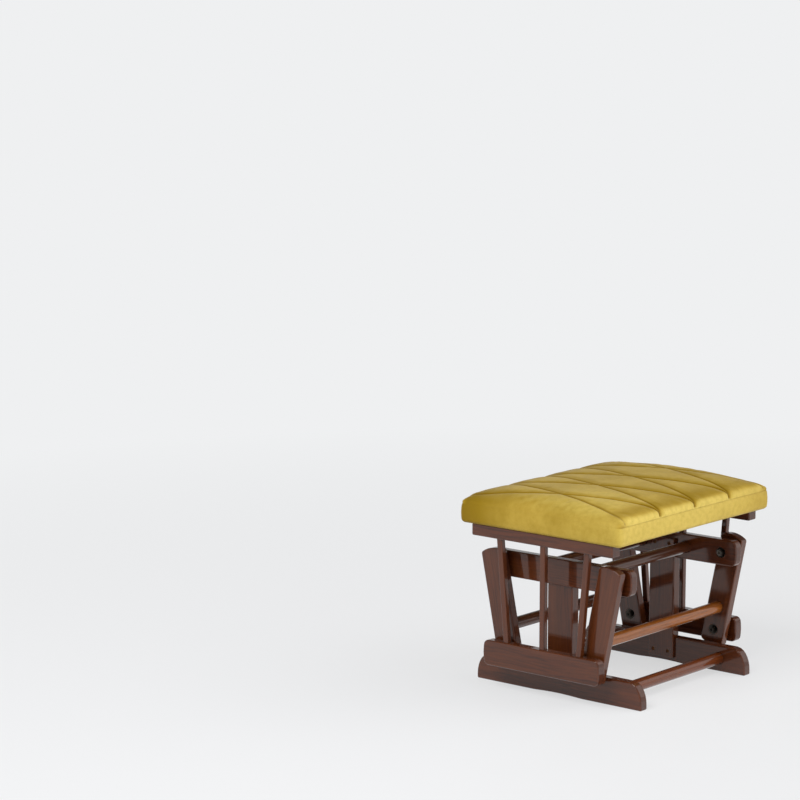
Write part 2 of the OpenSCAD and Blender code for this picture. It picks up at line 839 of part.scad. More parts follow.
lower_hardware(1, "outer ring");  // rear_lower_outer_rings
lower_rail(-1);  // lower_rail_left
lower_rail(1);  // lower_rail_right
top_rail(-1);  // top_rail_left
top_rail(1);  // top_rail_right
spindle(-1, -1);  // spindle_left_front
spindle(0, -1);  // spindle_left_middle
spindle(1, -1);  // spindle_left_rear
spindle(-1, 1);  // spindle_right_front
spindle(0, 1);  // spindle_right_middle
spindle(1, 1);  // spindle_right_rear
cross_slat(-1);  // cross_slat_front
cross_slat(1);  // cross_slat_rear
slat_screws();
board_screws();
both_lower("bolt");  // lower_bolts
both_lower("washer");  // lower_washers
both_lower("inner ring");  // lower_inner_rings
both_lower("sleeve");  // lower_sleeves
both_lower("insert");  // lower_inserts
cushion_board();
foam_core();
cushion();
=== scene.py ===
"""Looks of the glider ottoman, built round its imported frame: stained wood, steel
pivots and a quilted velvet cushion, on a plain pale stage."""

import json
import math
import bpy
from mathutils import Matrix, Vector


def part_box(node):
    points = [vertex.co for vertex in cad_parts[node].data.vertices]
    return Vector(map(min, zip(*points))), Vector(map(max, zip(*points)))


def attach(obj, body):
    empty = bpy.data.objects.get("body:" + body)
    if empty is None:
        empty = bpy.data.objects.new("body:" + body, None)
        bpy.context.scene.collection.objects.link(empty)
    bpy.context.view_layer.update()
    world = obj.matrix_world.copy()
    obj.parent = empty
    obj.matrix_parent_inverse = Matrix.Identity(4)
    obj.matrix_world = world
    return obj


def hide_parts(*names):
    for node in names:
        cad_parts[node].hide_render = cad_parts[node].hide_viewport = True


bl_info = {
    "name": "Glider Ottoman",
    "version": (1, 0, 0),
    "blender": (4, 5, 0),
    "location": "View3D > Sidebar > Ottoman",
    "description": "Dresses the glider ottoman's frame and makes its quilted cushion",
    "category": "Object",
}

import bpy
import numpy as np
from mathutils import Matrix, Vector
from mathutils.bvhtree import BVHTree

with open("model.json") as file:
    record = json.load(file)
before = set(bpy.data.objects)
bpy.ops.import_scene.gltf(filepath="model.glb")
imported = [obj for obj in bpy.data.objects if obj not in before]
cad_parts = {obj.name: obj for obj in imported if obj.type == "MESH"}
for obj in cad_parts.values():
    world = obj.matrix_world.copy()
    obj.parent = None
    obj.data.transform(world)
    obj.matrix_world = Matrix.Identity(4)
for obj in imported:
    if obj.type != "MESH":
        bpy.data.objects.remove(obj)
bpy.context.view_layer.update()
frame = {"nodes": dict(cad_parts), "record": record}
MM = 0.001


def linear(code):
    """An sRGB hex colour as linear red, green and blue."""
    parts = [int(code[i : i + 2], 16) / 255 for i in (1, 3, 5)]
    return tuple(c / 12.92 if c <= 0.04045 else ((c + 0.055) / 1.055) ** 2.4 for c in parts)


def rgba(color):
    return (*color[:3], 1.0)


# Settings


def color_prop(name, description, code):
    return bpy.props.FloatVectorProperty(
        name=name, description=description, subtype="COLOR", size=3,
        min=0.0, max=1.0, default=linear(code),
    )


def length_prop(name, description, millimetres):
    return bpy.props.FloatProperty(
        name=name, description=description, subtype="DISTANCE", unit="LENGTH",
        min=0.0, default=millimetres * MM,
    )


def amount_prop(name, description, amount, **more):
    return bpy.props.FloatProperty(name=name, description=description, min=0.0, default=amount, **more)


class WoodSettings(bpy.types.PropertyGroup):
    stain: color_prop("Stain", "Colour of most of the stained wood", "#56280f")
    early_wood: color_prop("Light grain", "Soft grain that takes less stain", "#683513")
    late_wood: color_prop("Dark grain", "Dense grain and pores full of stain", "#371809")
    worn_edge: color_prop("Worn edge", "Edges sanded thin before the lacquer", "#8a4a25")
    # Painted light and shade: the round stretchers share one stain in three copies. The front links'
    # stretcher gets the lit copy, and the foot stretchers and the others get darker copies as painted
    # shade
    turned: color_prop("Turned wood", "The front links' round stretcher, stained least", "#955417")
    foot_dowel: color_prop("Foot stretchers", "Round stretchers between the foot rails", "#6c3006")
    shade_painted_dowel: color_prop("Dark stretchers", "The other round stretchers, stained most", "#47220c")
    grain_width: length_prop("Grain width", "Distance between dark grain lines", 3.6)
    gloss: amount_prop(
        "Lacquer", "How much clear lacquer covers the stain", 1.0, max=1.0, subtype="FACTOR"
    )


class SteelSettings(bpy.types.PropertyGroup):
    zinc: color_prop("Zinc plate", "Upper bolts, sleeves and inserts", "#6e6a65")
    # Painted shade: a darker copy of the zinc plate, for the lower bolts and all the washers
    shade_painted_zinc: color_prop("Black zinc", "Lower bolts and all the washers", "#393531")
    ring: color_prop("Bearing steel", "Rings and balls of the bearings", "#3a3632")
    bronze: color_prop("Screw coating", "Wood screws", "#5e3e26")


class CushionSettings(bpy.types.PropertyGroup):
    velvet: color_prop("Velvet", "Pile that stands up", "#bd9f45")
    # The dark velvet colour serves both the pile's own dents, tufts and patches and the painted shade,
    # and the bright velvet colour is the painted highlight
    nap_and_shade: color_prop("Dark velvet", "Pile that lies flat and looks darker", "#92751b")
    painted_light: color_prop("Bright velvet", "Pile that is brushed toward the light", "#dec566")
    # The thread's colour also serves as the painted shade in the channels and on the seams
    thread: color_prop("Thread", "Quilting thread", "#775a12")
    crown: length_prop("Crown", "Height of the crown above the seam", 34.0)
    channel: length_prop("Channel", "Depth of the stitched channels", 5.0)
    puff: length_prop("Puff", "Most that the filling lifts the velvet", 2.2)
    stitch: length_prop("Stitch", "Length of one stitch with its gap", 4.0)


class StageSettings(bpy.types.PropertyGroup):
    floor: color_prop("Floor", "Pale studio floor", "#f3f3f5")
    backdrop: color_prop("Backdrop", "What the eye sees beyond the floor", "#eff0f1")
    daylight: amount_prop("Soft light", "Strength of the light from all round", 0.36)
    front: amount_prop("Front light", "Strength of the broad soft light from the front", 2.05)
    key: amount_prop("Key light", "Power of the soft lamp at the right", 32.0, unit="POWER")
    side: amount_prop("Side light", "Power of the soft lamp high at the left", 100.0, unit="POWER")


# Materials


def add_node(tree, kind, inputs=None, **settings):
    """A node with its settings. An input is a value, or the socket that feeds it."""
    node = tree.nodes.new("ShaderNode" + kind)
    for key, value in settings.items():
        setattr(node, key, value)
    for key, value in (inputs or {}).items():
        if isinstance(value, bpy.types.NodeSocket):
            tree.links.new(value, node.inputs[key])
        else:
            node.inputs[key].default_value = value
    return node


def per(size_mm):
    """How often a size in millimetres fits in a metre, which is a pattern's scale."""
    return 1 / (size_mm * MM)


def new_material(name):
    """An empty material, its tree, and the place on the object as a socket."""
    mat = bpy.data.materials.new(name)
    mat.use_nodes = True
    tree = mat.node_tree
    tree.nodes.clear()
    return mat, tree, add_node(tree, "TexCoord").outputs["Object"]


def tint(tree, tone, color, value, start=0.0, end=1.0, least=0.0, most=1.0):
    """A tone that turns toward a colour while a value goes from start to end, from the least
    share of that colour to the most."""
    share = add_node(
        tree, "MapRange",
        {"Value": value, "From Min": start, "From Max": end, "To Min": least, "To Max": most},
    ).outputs[0]
    return add_node(tree, "Mix", {0: share, 6: tone, 7: color}, data_type="RGBA").outputs[2]


def surfaced(mat, tree, inputs):
    """The material, finished with one shader that has these inputs."""
    shader = add_node(tree, "BsdfPrincipled", inputs)
    add_node(tree, "OutputMaterial", {"Surface": shader.outputs[0]})
    return mat


def paint(name, material, slot):
    obj = frame["nodes"][name]
    obj.data.materials.clear()
    obj.data.materials.append(material)


def wood_grain(tree, along, settings):
    """Noise of the fine grain lines, of the broad bands and of the pores."""
    # The grain sways by some millimetres within about 110 mm
    sway = 12 * MM
    drift = add_node(tree, "TexNoise", {"Vector": along, "Scale": per(111.1), "Detail": 1.0})
    aside = add_node(
        tree, "VectorMath", {0: drift.outputs["Color"], 1: (sway, sway, sway)},
        operation="MULTIPLY",
    )
    bent = add_node(
        tree, "VectorMath", {0: along, 1: aside.outputs[0]}, operation="ADD"
    ).outputs[0]
    # Grain lines run on for about 125 mm and lie one grain width apart
    pitch = 1 / settings.grain_width
    lines = add_node(tree, "Mapping", {"Vector": bent, "Scale": (per(125), pitch, pitch)})
    fine = add_node(
        tree, "TexNoise",
        {"Vector": lines.outputs[0], "Scale": 1.0, "Detail": 5.0, "Roughness": 0.62},
    )
    # Broad bands of paler wood are about 330 mm long and 38 mm wide
    band = per(38.46)
    bands = add_node(tree, "Mapping", {"Vector": bent, "Scale": (per(333.3), band, band)})
    broad = add_node(
        tree, "TexNoise", {"Vector": bands.outputs[0], "Scale": 1.0, "Detail": 2.0}
    )
    # Pores are 0.1 mm wide; they are drawn 0.5 mm wide so that they show, and 11 mm long
    width = per(0.5)
    holes = add_node(tree, "Mapping", {"Vector": along, "Scale": (per(11.11), width, width)})
    pores = add_node(tree, "TexNoise", {"Vector": holes.outputs[0], "Scale": 1.0, "Detail": 2.0})
    sparse = add_node(
        tree, "MapRange", {"Value": pores.outputs["Fac"], "From Min": 0.60, "From Max": 0.72}
    )
    return fine.outputs["Fac"], broad.outputs["Fac"], sparse.outputs[0]


def thin_edge(tree, place, soft):
    """Where stain is thin: on eased edges, and there in patches of about 17 mm."""
    flat = add_node(tree, "NewGeometry").outputs["Normal"]
    same = add_node(tree, "VectorMath", {0: soft, 1: flat}, operation="DOT_PRODUCT")
    rubbed = add_node(tree, "TexNoise", {"Vector": place, "Scale": per(16.67), "Detail": 3.0})
    bend = add_node(
        tree, "MapRange", {"Value": same.outputs["Value"], "From Min": 0.995, "From Max": 0.93}
    )
    patch = add_node(
        tree, "MapRange", {"Value": rubbed.outputs["Fac"], "From Min": 0.35, "From Max": 0.7}
    )
    return add_node(
        tree, "Math", {0: bend.outputs[0], 1: patch.outputs[0]}, operation="MULTIPLY"
    ).outputs[0]


def stained_wood(name, grain, settings, seed, ground, faint):
    """Beech, planed and sanded, stained dark walnut and sprayed with semi-gloss lacquer:
    short dark grain lines under a clear skin, darker end grain and thinly stained edges."""
    mat, tree, place = new_material(name)
    dark = rgba(settings.late_wood)
    turn = Vector((1, 0, 0)).rotation_difference(Vector(grain)).inverted().to_euler()
    # Each piece shows another place of the grain
    shift = (seed * 0.37, seed * 0.11, seed * 0.23)
    along = add_node(
        tree, "Mapping", {"Vector": place, "Rotation": turn, "Location": shift}
    ).outputs[0]
    fine, broad, pore = wood_grain(tree, along, settings)
    tone = tint(tree, dark, rgba(ground), fine, start=0.30, end=0.62, least=faint)
    tone = tint(tree, tone, rgba(settings.early_wood), broad, start=0.42, end=0.75, most=0.5)
    tone = tint(tree, tone, dark, pore, most=0.35)
    # End grain drinks the stain
    normal = add_node(tree, "TexCoord").outputs["Normal"]
    facing = add_node(
        tree, "VectorMath", {0: normal, 1: Vector(grain).normalized()}, operation="DOT_PRODUCT"
    )
    end = add_node(tree, "Math", {0: facing.outputs["Value"]}, operation="ABSOLUTE").outputs[0]
    tone = tint(tree, tone, dark, end, start=0.75, end=1.0, most=0.5)
    # The bevel rounds the edges' facets in the light
    soft = add_node(tree, "Bevel", {"Radius": 2.2 * MM}, samples=6).outputs[0]
    edge = thin_edge(tree, place, soft)
    tone = tint(tree, tone, rgba(settings.worn_edge), edge, most=0.5)
    sunk = add_node(tree, "Math", {0: fine, 1: pore}, operation="SUBTRACT").outputs[0]
    relief = add_node(
        tree, "Bump",
        {"Height": sunk, "Strength": 0.25, "Distance": 0.12 * MM, "Normal": soft},
    )
    # Sprayed lacquer dries with waves of about 7 mm
    peel = add_node(tree, "TexNoise", {"Vector": place, "Scale": per(7.143), "Detail": 1.0})
    skin = add_node(
        tree, "Bump",
        {"Height": peel.outputs["Fac"], "Strength": 0.12, "Distance": 0.1 * MM, "Normal": soft},
    )
    # Hands and cloths leave patches of about 45 mm in its gloss
    smudge = add_node(tree, "TexNoise", {"Vector": place, "Scale": per(45.45), "Detail": 4.0})
    uneven = add_node(
        tree, "MapRange",
        {
            "Value": smudge.outputs["Fac"], "From Min": 0.3, "From Max": 0.7,
            "To Min": 0.4, "To Max": 0.55,
        },
    )
    return surfaced(mat, tree, {
        "Base Color": tone,
        "Roughness": uneven.outputs[0],
        "IOR": 1.5,
        "Specular IOR Level": 0.1,
        "Normal": relief.outputs[0],
        "Coat Weight": settings.gloss,
        "Coat Roughness": 0.07,
        "Coat IOR": 1.48,
        "Coat Normal": skin.outputs[0],
    })


def plated_steel(name, color, rough, scratch_mm):
    """Turned or pressed steel: a bright metal whose fine tool marks blur what it reflects."""
    mat, tree, place = new_material(name)
    # Tool marks run round the pivots' axis, which is X, and are about 17 mm long
    run = per(16.67)
    rings = add_node(tree, "Mapping", {"Vector": place, "Scale": (per(scratch_mm), run, run)})
    marks = add_node(
        tree, "TexNoise", {"Vector": rings.outputs[0], "Scale": 1.0, "Detail": 3.0}
    ).outputs["Fac"]
    # Dull specks are about 3 mm wide
    grime = add_node(tree, "TexNoise", {"Vector": place, "Scale": per(2.857), "Detail": 3.0})
    dull = rgba([0.62 * c for c in color])
    tone = tint(tree, rgba(color), dull, grime.outputs["Fac"], start=0.5, end=0.75, most=0.5)
    blur = add_node(
        tree, "MapRange",
        {
            "Value": marks, "From Min": 0.3, "From Max": 0.7,
            "To Min": rough * 0.75, "To Max": rough * 1.3,
        },
    )
    relief = add_node(tree, "Bump", {"Height": marks, "Strength": 0.3, "Distance": 0.02 * MM})
    return surfaced(mat, tree, {
        "Base Color": tone,
        "Metallic": 1.0,
        "Roughness": blur.outputs[0],
        "Normal": relief.outputs[0],
    })


def birch_plywood(name):
    """Rotary-cut plywood, sawn: pale faces with wide figure, and edges striped by its plies."""
    mat, tree, place = new_material(name)
    height = add_node(tree, "SeparateXYZ", {0: place}).outputs["Z"]
    # Nine plies in 12 mm: light and dark alternate every 1.33 mm
    turns = add_node(tree, "Math", {0: height, 1: math.pi * per(1.33)}, operation="MULTIPLY")
    ply = add_node(tree, "Math", {0: turns.outputs[0]}, operation="SINE").outputs[0]
    # The face's figure is about 250 mm long and 17 mm wide
    run = per(250)
    wide = add_node(tree, "Mapping", {"Vector": place, "Scale": (run, per(16.67), run)})
    figure = add_node(
        tree, "TexNoise", {"Vector": wide.outputs[0], "Scale": 1.0, "Detail": 4.0}
    ).outputs["Fac"]
    face, pale_face, glue = (rgba(linear(code)) for code in ("#c9a06a", "#e0c293", "#8d6436"))
    tone = tint(tree, face, pale_face, figure, start=0.35, end=0.7)
    tone = tint(tree, tone, glue, ply, start=-0.4, end=0.4, most=0.45)
    relief = add_node(tree, "Bump", {"Height": figure, "Strength": 0.2, "Distance": 0.2 * MM})
    return surfaced(mat, tree, {
        "Base Color": tone,
        "Roughness": 0.7,
        "Normal": relief.outputs[0],
    })


def cut_foam(name):
    """Polyurethane foam, cut from a block: open cells of about 1 mm in a dull cream."""
    mat, tree, place = new_material(name)
    cells = add_node(tree, "TexVoronoi", {"Vector": place, "Scale": per(1.25)}).outputs["Distance"]
    hole, wall = (rgba(linear(code)) for code in ("#c9b98a", "#efe3bf"))
    tone = add_node(tree, "Mix", {0: cells, 6: hole, 7: wall}, data_type="RGBA")
    relief = add_node(tree, "Bump", {"Height": cells, "Strength": 0.5, "Distance": 0.5 * MM})
    return surfaced(mat, tree, {
        "Base Color": tone.outputs[2],
        "Roughness": 0.95,
        "Normal": relief.outputs[0],
    })


def velvet_tone(tree, patch, tuft, crushed, settings):
    """The pile's colour, darker in random patches, dents and tufts, with painted light and shade."""
    nap_and_shade, thread = rgba(settings.nap_and_shade), rgba(settings.thread)
    # Painted shade in the stitched channels and on the seam, stored on the cover
    shade = add_node(tree, "Attribute", attribute_name="channel").outputs["Fac"]
    # Painted light and shade stored on the cover: 1 is a painted highlight, -1 and -2 are painted
    # shade
    painted_light = add_node(tree, "Attribute", attribute_name="painted_light").outputs["Fac"]
    tone = tint(tree, nap_and_shade, rgba(settings.velvet), patch, start=0.32, end=0.6, least=0.45)
    tone = tint(tree, tone, nap_and_shade, painted_light, end=-1.0)
    tone = tint(tree, tone, thread, painted_light, start=-1.0, end=-2.0)
    tone = tint(tree, tone, rgba(settings.painted_light), painted_light)
    tone = tint(tree, tone, nap_and_shade, crushed, start=0.42, end=0.72, most=0.25)
    tone = tint(tree, tone, nap_and_shade, tuft, start=0.3, end=0.7, most=0.22)
    return tint(tree, tone, thread, shade, most=0.85)


def cut_velvet(name, settings):
    """Cotton velvet, cut pile: a soft warm gloss with soft patches where the pile lies
    another way, painted light and shade over the cover, and painted shade in each stitched channel."""
    mat, tree, place = new_material(name)
    # The pile was brushed in patches of about 77 mm
    patch = add_node(
        tree, "TexNoise",
        {
            "Vector": place, "Scale": per(76.92), "Detail": 4.0,
            "Roughness": 0.55, "Distortion": 0.4,
        },
    ).outputs["Fac"]
    # Tufts are 0.3 mm apart; they are drawn 0.9 mm apart so that they show
    tuft = add_node(
        tree, "TexNoise", {"Vector": place, "Scale": per(0.9091), "Detail": 2.0}
    ).outputs["Fac"]
    # Small dents in the pile are 11 mm wide
    crushed = add_node(
        tree, "TexNoise", {"Vector": place, "Scale": per(11.11), "Detail": 3.0}
    ).outputs["Fac"]
    tone = velvet_tone(tree, patch, tuft, crushed, settings)
    rumpled = add_node(tree, "Math", {0: crushed, 1: 2.5}, operation="MULTIPLY").outputs[0]
    rise = add_node(tree, "Math", {0: tuft, 1: rumpled}, operation="ADD").outputs[0]
    relief = add_node(tree, "Bump", {"Height": rise, "Strength": 0.35, "Distance": 0.35 * MM})
    return surfaced(mat, tree, {
        "Base Color": tone,
        "Roughness": 0.48,
        "IOR": 1.45,
        "Specular IOR Level": 0.2,
        "Specular Tint": rgba(linear("#ffe99a")),
        "Sheen Weight": 0.03,
        "Sheen Roughness": 0.4,
        "Sheen Tint": rgba(linear("#fff0a8")),
        "Normal": relief.outputs[0],
    })


def twisted_thread(name, settings):
    """Polyester thread, twisted: a dull strand a little darker than the velvet it holds."""
    mat, tree, place = new_material(name)
    # Its twist repeats within each stitch
    twist = add_node(tree, "TexWave", {"Vector": place, "Scale": per(1.111), "Distortion": 1.0})
    dark = rgba([0.55 * c for c in settings.thread])
    tone = add_node(
        tree, "Mix", {0: twist.outputs["Fac"], 6: dark, 7: rgba(settings.thread)},
        data_type="RGBA",
    )
    return surfaced(mat, tree, {
        "Base Color": tone.outputs[2],
        "Roughness": 0.6,
        "Sheen Weight": 0.2,
    })


# The cushion, in millimetres

SEAT_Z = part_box("cushion")[0].z / MM
CUSHION_W = 521.0
CUSHION_L = 400.0
BAND_H = 39.0
SEAM_Z = SEAT_Z + BAND_H
STITCH_COUNT = 4
STITCH_MARGIN = 18.5
STITCH_PITCH = (CUSHION_W - 2 * STITCH_MARGIN) / STITCH_COUNT
# The crown from above: its corners' radius, the share of its width that they leave alone,
# how far its sides are drawn in, and the power by which that fades from the seam inward
CORNER_R = 10.0
KNEE_SHARE = 0.8
DRAW_IN = 2.0
DRAW_POWER = 8
# Powers of the crown's height: how long it stays flat, and how steeply it falls at its ends
ACROSS_FLAT = 9
ACROSS_FALL = 0.55
DEEP_FLAT = 2
DEEP_FALL = 0.3
PROFILE_SAMPLES = 4001
# The rounded edge above the seam, and the filling in the corners: height, places and widths
PILLOW = 4.5
PILLOW_REACH = 45.0
CORNER_PUFF = 1.5
PUFF_IN_X = 22
PUFF_IN_Y = 16
PUFF_WIDE_X = 24
PUFF_WIDE_Y = 20


def stitch_lines():
    """The plan of the eight stitched lines: two crossing lines in each of four cells."""
    half = CUSHION_L / 2
    lines = []
    for i in range(STITCH_COUNT):
        left = -CUSHION_W / 2 + STITCH_MARGIN + i * STITCH_PITCH
        right = left + STITCH_PITCH
        lines.append(((left, -half), (right, half)))
        lines.append(((right, -half), (left, half)))
    return lines


def eased(share):
    """From 0 to 1 with a soft start and end."""
    share = np.clip(share, 0, 1)
    return share * share * (3 - 2 * share)


def bell(value, middle, width, power=2):
    """1 at the middle, and softly down to 0 on both sides."""
    return np.exp(-(((value - middle) / width) ** power))


def line_distance(x, y):
    """Distance in plan to the nearest stitched line."""
    best = np.full(np.shape(x), np.inf)
    for (x0, y0), (x1, y1) in stitch_lines():
        dx, dy = x1 - x0, y1 - y0
        off = np.abs((x - x0) * dy - (y - y0) * dx) / math.hypot(dx, dy)
        best = np.minimum(best, off)
    return best


def even_steps(count, half, profile, heights):
    """For each height, numbers from -1 to 1 that lie evenly along a profile that high."""
    t = np.sin(np.linspace(-np.pi / 2, np.pi / 2, PROFILE_SAMPLES))
    rows = []
    for height in heights:
        step = np.hypot(np.diff(t * half), np.diff(height * profile(t)))
        along = np.append(0, np.cumsum(step))
        rows.append(np.interp(np.linspace(0, along[-1], count), along, t))
    return np.array(rows)


def across_profile(s):
    """Share of the crown's height from left to right."""
    return np.clip(1 - np.abs(s) ** ACROSS_FLAT, 0, 1) ** ACROSS_FALL


def deep_profile(t):
    """Share of the crown's height from front to rear."""
    return np.clip(1 - np.abs(t) ** DEEP_FLAT, 0, 1) ** DEEP_FALL


def crown_steps(rows, columns, high):
    """The s and t of every point of the crown, evenly spaced over its surface."""
    middle = even_steps(columns, CUSHION_W / 2, across_profile, [high])[0]
    depth = even_steps(rows, CUSHION_L / 2, deep_profile, [high])[0]
    t = even_steps(rows, CUSHION_L / 2, deep_profile, high * across_profile(middle)).T
    s = even_steps(columns, CUSHION_W / 2, across_profile, high * deep_profile(depth))
    return s, t


def plan_point(s, t):
    """Plan of the crown's point s, t: the corners are rounded and the sides drawn in."""
    half_w, half_l = CUSHION_W / 2, CUSHION_L / 2
    x, y = s * half_w, t * half_l
    past = np.maximum(0, np.abs(y) - (half_l - CORNER_R))
    reach = half_w - CORNER_R + np.sqrt(np.maximum(0, CORNER_R**2 - past**2))
    knee = KNEE_SHARE * half_w
    outer = np.maximum(0, np.abs(x) - knee)
    x = np.sign(x) * (np.minimum(np.abs(x), knee) + outer * (reach - knee) / (half_w - knee))
    x = x - np.sign(x) * DRAW_IN * (1 - t**2) * np.abs(s) ** DRAW_POWER
    y = y - np.sign(y) * DRAW_IN * (1 - s**2) * np.abs(t) ** DRAW_POWER
    return x, y


def top_grid(s, t, high):
    """The crown as a dome from front to rear, and flat with falling ends from left to right,
    on a rounded edge."""
    x, y = plan_point(s, t)
    dome = high * across_profile(s) * deep_profile(t)
    in_x = np.abs(x[:, -1:]) - np.abs(x)
    in_y = np.abs(y[-1:, :]) - np.abs(y)
    round_x, round_y = (
        np.sqrt(1 - (1 - np.clip(inward / PILLOW, 0, 1)) ** 2) for inward in (in_x, in_y)
    )
    middle = (1 - bell(in_x, 0, PILLOW_REACH)) * (1 - bell(in_y, 0, PILLOW_REACH))
    pillow = PILLOW * round_x * round_y * (1 - middle)
    puff = CORNER_PUFF * np.exp(
        -(((in_x - PUFF_IN_X) / PUFF_WIDE_X) ** 2) - ((in_y - PUFF_IN_Y) / PUFF_WIDE_Y) ** 2
    )
    return np.stack([x, y, SEAM_Z + np.hypot(dome, pillow) + puff * round_x * round_y], 2)


def plain_crown(rows, columns, settings):
    """The crown's grid of points before it is quilted."""
    high = settings.crown / MM
    return top_grid(*crown_steps(rows, columns, high), high)


def grid_normals(grid):
    """Unit normals of a grid of points, upward."""
    du = np.gradient(grid, axis=1)
    dv = np.gradient(grid, axis=0)
    n = np.cross(du, dv)
    return n / np.maximum(np.linalg.norm(n, axis=2, keepdims=True), 1e-9)


def rim_index(rows, columns):
    """Indices of a grid's border, in order round it from above."""
    front = list(range(columns))
    right = [j * columns + columns - 1 for j in range(1, rows)]
    rear = [(rows - 1) * columns + i for i in range(columns - 2, -1, -1)]
    left = [j * columns for j in range(rows - 2, 0, -1)]
    return np.array(front + right + rear + left)


# The side band: its swell, how the lower seam tucks it in below a share of its height, and
# the width of the top seam's pinch. The direction in which it stands out is smoothed first
OUTWARD_PASSES = 3
BAND_SWELL = 2.0
SWELL_POWER = 0.8
BAND_TUCK = 4.5
TUCK_SHARE = 0.16
SEAM_WIDTH = 2.2


def outward(loop):
    """Horizontal direction away from the cushion at each point of a closed loop."""
    step = np.roll(loop, -1, 0) - np.roll(loop, 1, 0)
    out = np.stack([step[:, 1], -step[:, 0], np.zeros(len(loop))], 1)
    out /= np.maximum(np.linalg.norm(out, axis=1, keepdims=True), 1e-9)
    for _ in range(OUTWARD_PASSES):
        out = (np.roll(out, 1, 0) + out + np.roll(out, -1, 0)) / 3
    return out / np.linalg.norm(out, axis=1, keepdims=True)


def band_offset(share, pinch):
    """How far the side band stands out, at a share of its height from the bottom. Pinch is
    how far the top seam draws it in."""
    swell = BAND_SWELL * np.sin(np.pi * share) ** SWELL_POWER
    tuck = BAND_TUCK * max(1 - share / TUCK_SHARE, 0) ** 2
    seam = bell((1 - share) * BAND_H, 0, SEAM_WIDTH)
    return (swell - tuck - seam * pinch)[:, None]


def grid_faces(rows, columns):
    """The four-sided faces of a grid of points."""
    return [
        (j * columns + i, j * columns + i + 1, (j + 1) * columns + i + 1, (j + 1) * columns + i)
        for j in range(rows - 1) for i in range(columns - 1)
    ]


def ring_faces(upper, lower):
    """The four-sided faces between two rings of points."""
    n = len(upper)
    return [(upper[i], lower[i], lower[(i + 1) % n], upper[(i + 1) % n]) for i in range(n)]


def resample(field, count, axis):
    """A field stretched to count samples along an axis, with smooth curves between."""
    field = np.moveaxis(field, axis, 0)
    n = len(field)
    at = np.linspace(0, n - 1, count)
    i = np.clip(np.floor(at).astype(int), 0, n - 2)
    t = (at - i).reshape((-1,) + (1,) * (field.ndim - 1))
    p0, p1 = field[np.clip(i - 1, 0, n - 1)], field[i]
    p2, p3 = field[i + 1], field[np.clip(i + 2, 0, n - 1)]
    out = p1 + 0.5 * t * (
        p2 - p0 + t * (2 * p0 - 5 * p1 + 4 * p2 - p3 + t * (3 * (p1 - p2) + p3 - p0))
    )
    return np.moveaxis(out, 0, axis)


# The crown's cloth: its grid, the strip that is held along a line, and its simulated frames
CLOTH_ROWS = 81
CLOTH_COLUMNS = 101
HELD_WIDTH = 3.6
CLOTH_FRAMES = 20
SMOOTH_PASSES = 3


def set_cloth(sim):
    """Light, stretchy velvet, blown up by pressure where it isn't held."""
    rules = sim.settings
    rules.vertex_group_mass = "held"
    rules.quality = 6
    rules.mass = 0.25
    rules.tension_stiffness = 12
    rules.compression_stiffness = 12
    rules.shear_stiffness = 5
    rules.bending_stiffness = 0.6
    rules.shrink_min = -0.012
    rules.use_pressure = True
    rules.uniform_pressure_force = 4.0
    rules.effector_weights.gravity = 0.0
    sim.collision_settings.use_collision = False


def filled_crown(settings):
    """How far the filling lifts each point of a coarse crown: velvet held at its seam and
    its stitched lines, and blown up as cloth."""
    rows, columns = CLOTH_ROWS, CLOTH_COLUMNS
    grid = plain_crown(rows, columns, settings)
    flat = grid.reshape(-1, 3)
    mesh = bpy.data.meshes.new("crown_cloth")
    mesh.from_pydata((flat * MM).tolist(), [], grid_faces(rows, columns))
    cloth = bpy.data.objects.new("crown_cloth", mesh)
    scene = bpy.context.scene
    scene.collection.objects.link(cloth)
    held = cloth.vertex_groups.new(name="held")
    near = line_distance(flat[:, 0], flat[:, 1]) < HELD_WIDTH
    near[rim_index(rows, columns)] = True
    held.add([int(i) for i in np.flatnonzero(near)], 1.0, "REPLACE")
    set_cloth(cloth.modifiers.new("cloth", "CLOTH"))
    scene.frame_start, scene.frame_end = 1, CLOTH_FRAMES
    for step in range(1, CLOTH_FRAMES + 1):
        scene.frame_set(step)
    ready = cloth.evaluated_get(bpy.context.evaluated_depsgraph_get())
    moved = np.array([v.co for v in ready.data.vertices]).reshape(rows, columns, 3) / MM
    scene.frame_set(1)
    bpy.data.objects.remove(cloth)
    bpy.data.meshes.remove(mesh)
    lift = np.clip(((moved - grid) * grid_normals(grid)).sum(2), 0.0, settings.puff / MM)
    for _ in range(SMOOTH_PASSES):
        wide = np.pad(lift, 1, "edge")
        around = wide[:-2, 1:-1] + wide[2:, 1:-1] + wide[1:-1, :-2] + wide[1:-1, 2:]
        lift = around / 8 + lift / 2
    return lift


def filling_lift(away, rows, columns, settings):
    """How far the filling lifts the fine grid's points."""
    bulge_width, line_width = 16, 9
    lift = resample(resample(filled_crown(settings), rows, 0), columns, 1)
    return lift * (1 - bell(away, 0, line_width))


# The quilting: the fine grid and its step, and the distances from a front or rear seam and
# from a side seam over which the relief grows to its full height
FINE_ROWS = 321
FINE_COLUMNS = 401
FINE_STEP = 1.36
SEAM_HELD = 4
SIDE_HELD = 14
SEAM_DROP = 0.5
# How much of the filling's lift shows, and how far the whole crown sinks under its thread
LIFT_SHARE = 0.7
SINK = 0.8
# The stitches are less tight near the side seams: their least pull, and where it grows
LOOSE_PULL = 0.2
LOOSE_TO = 15
TIGHT_REACH = 40
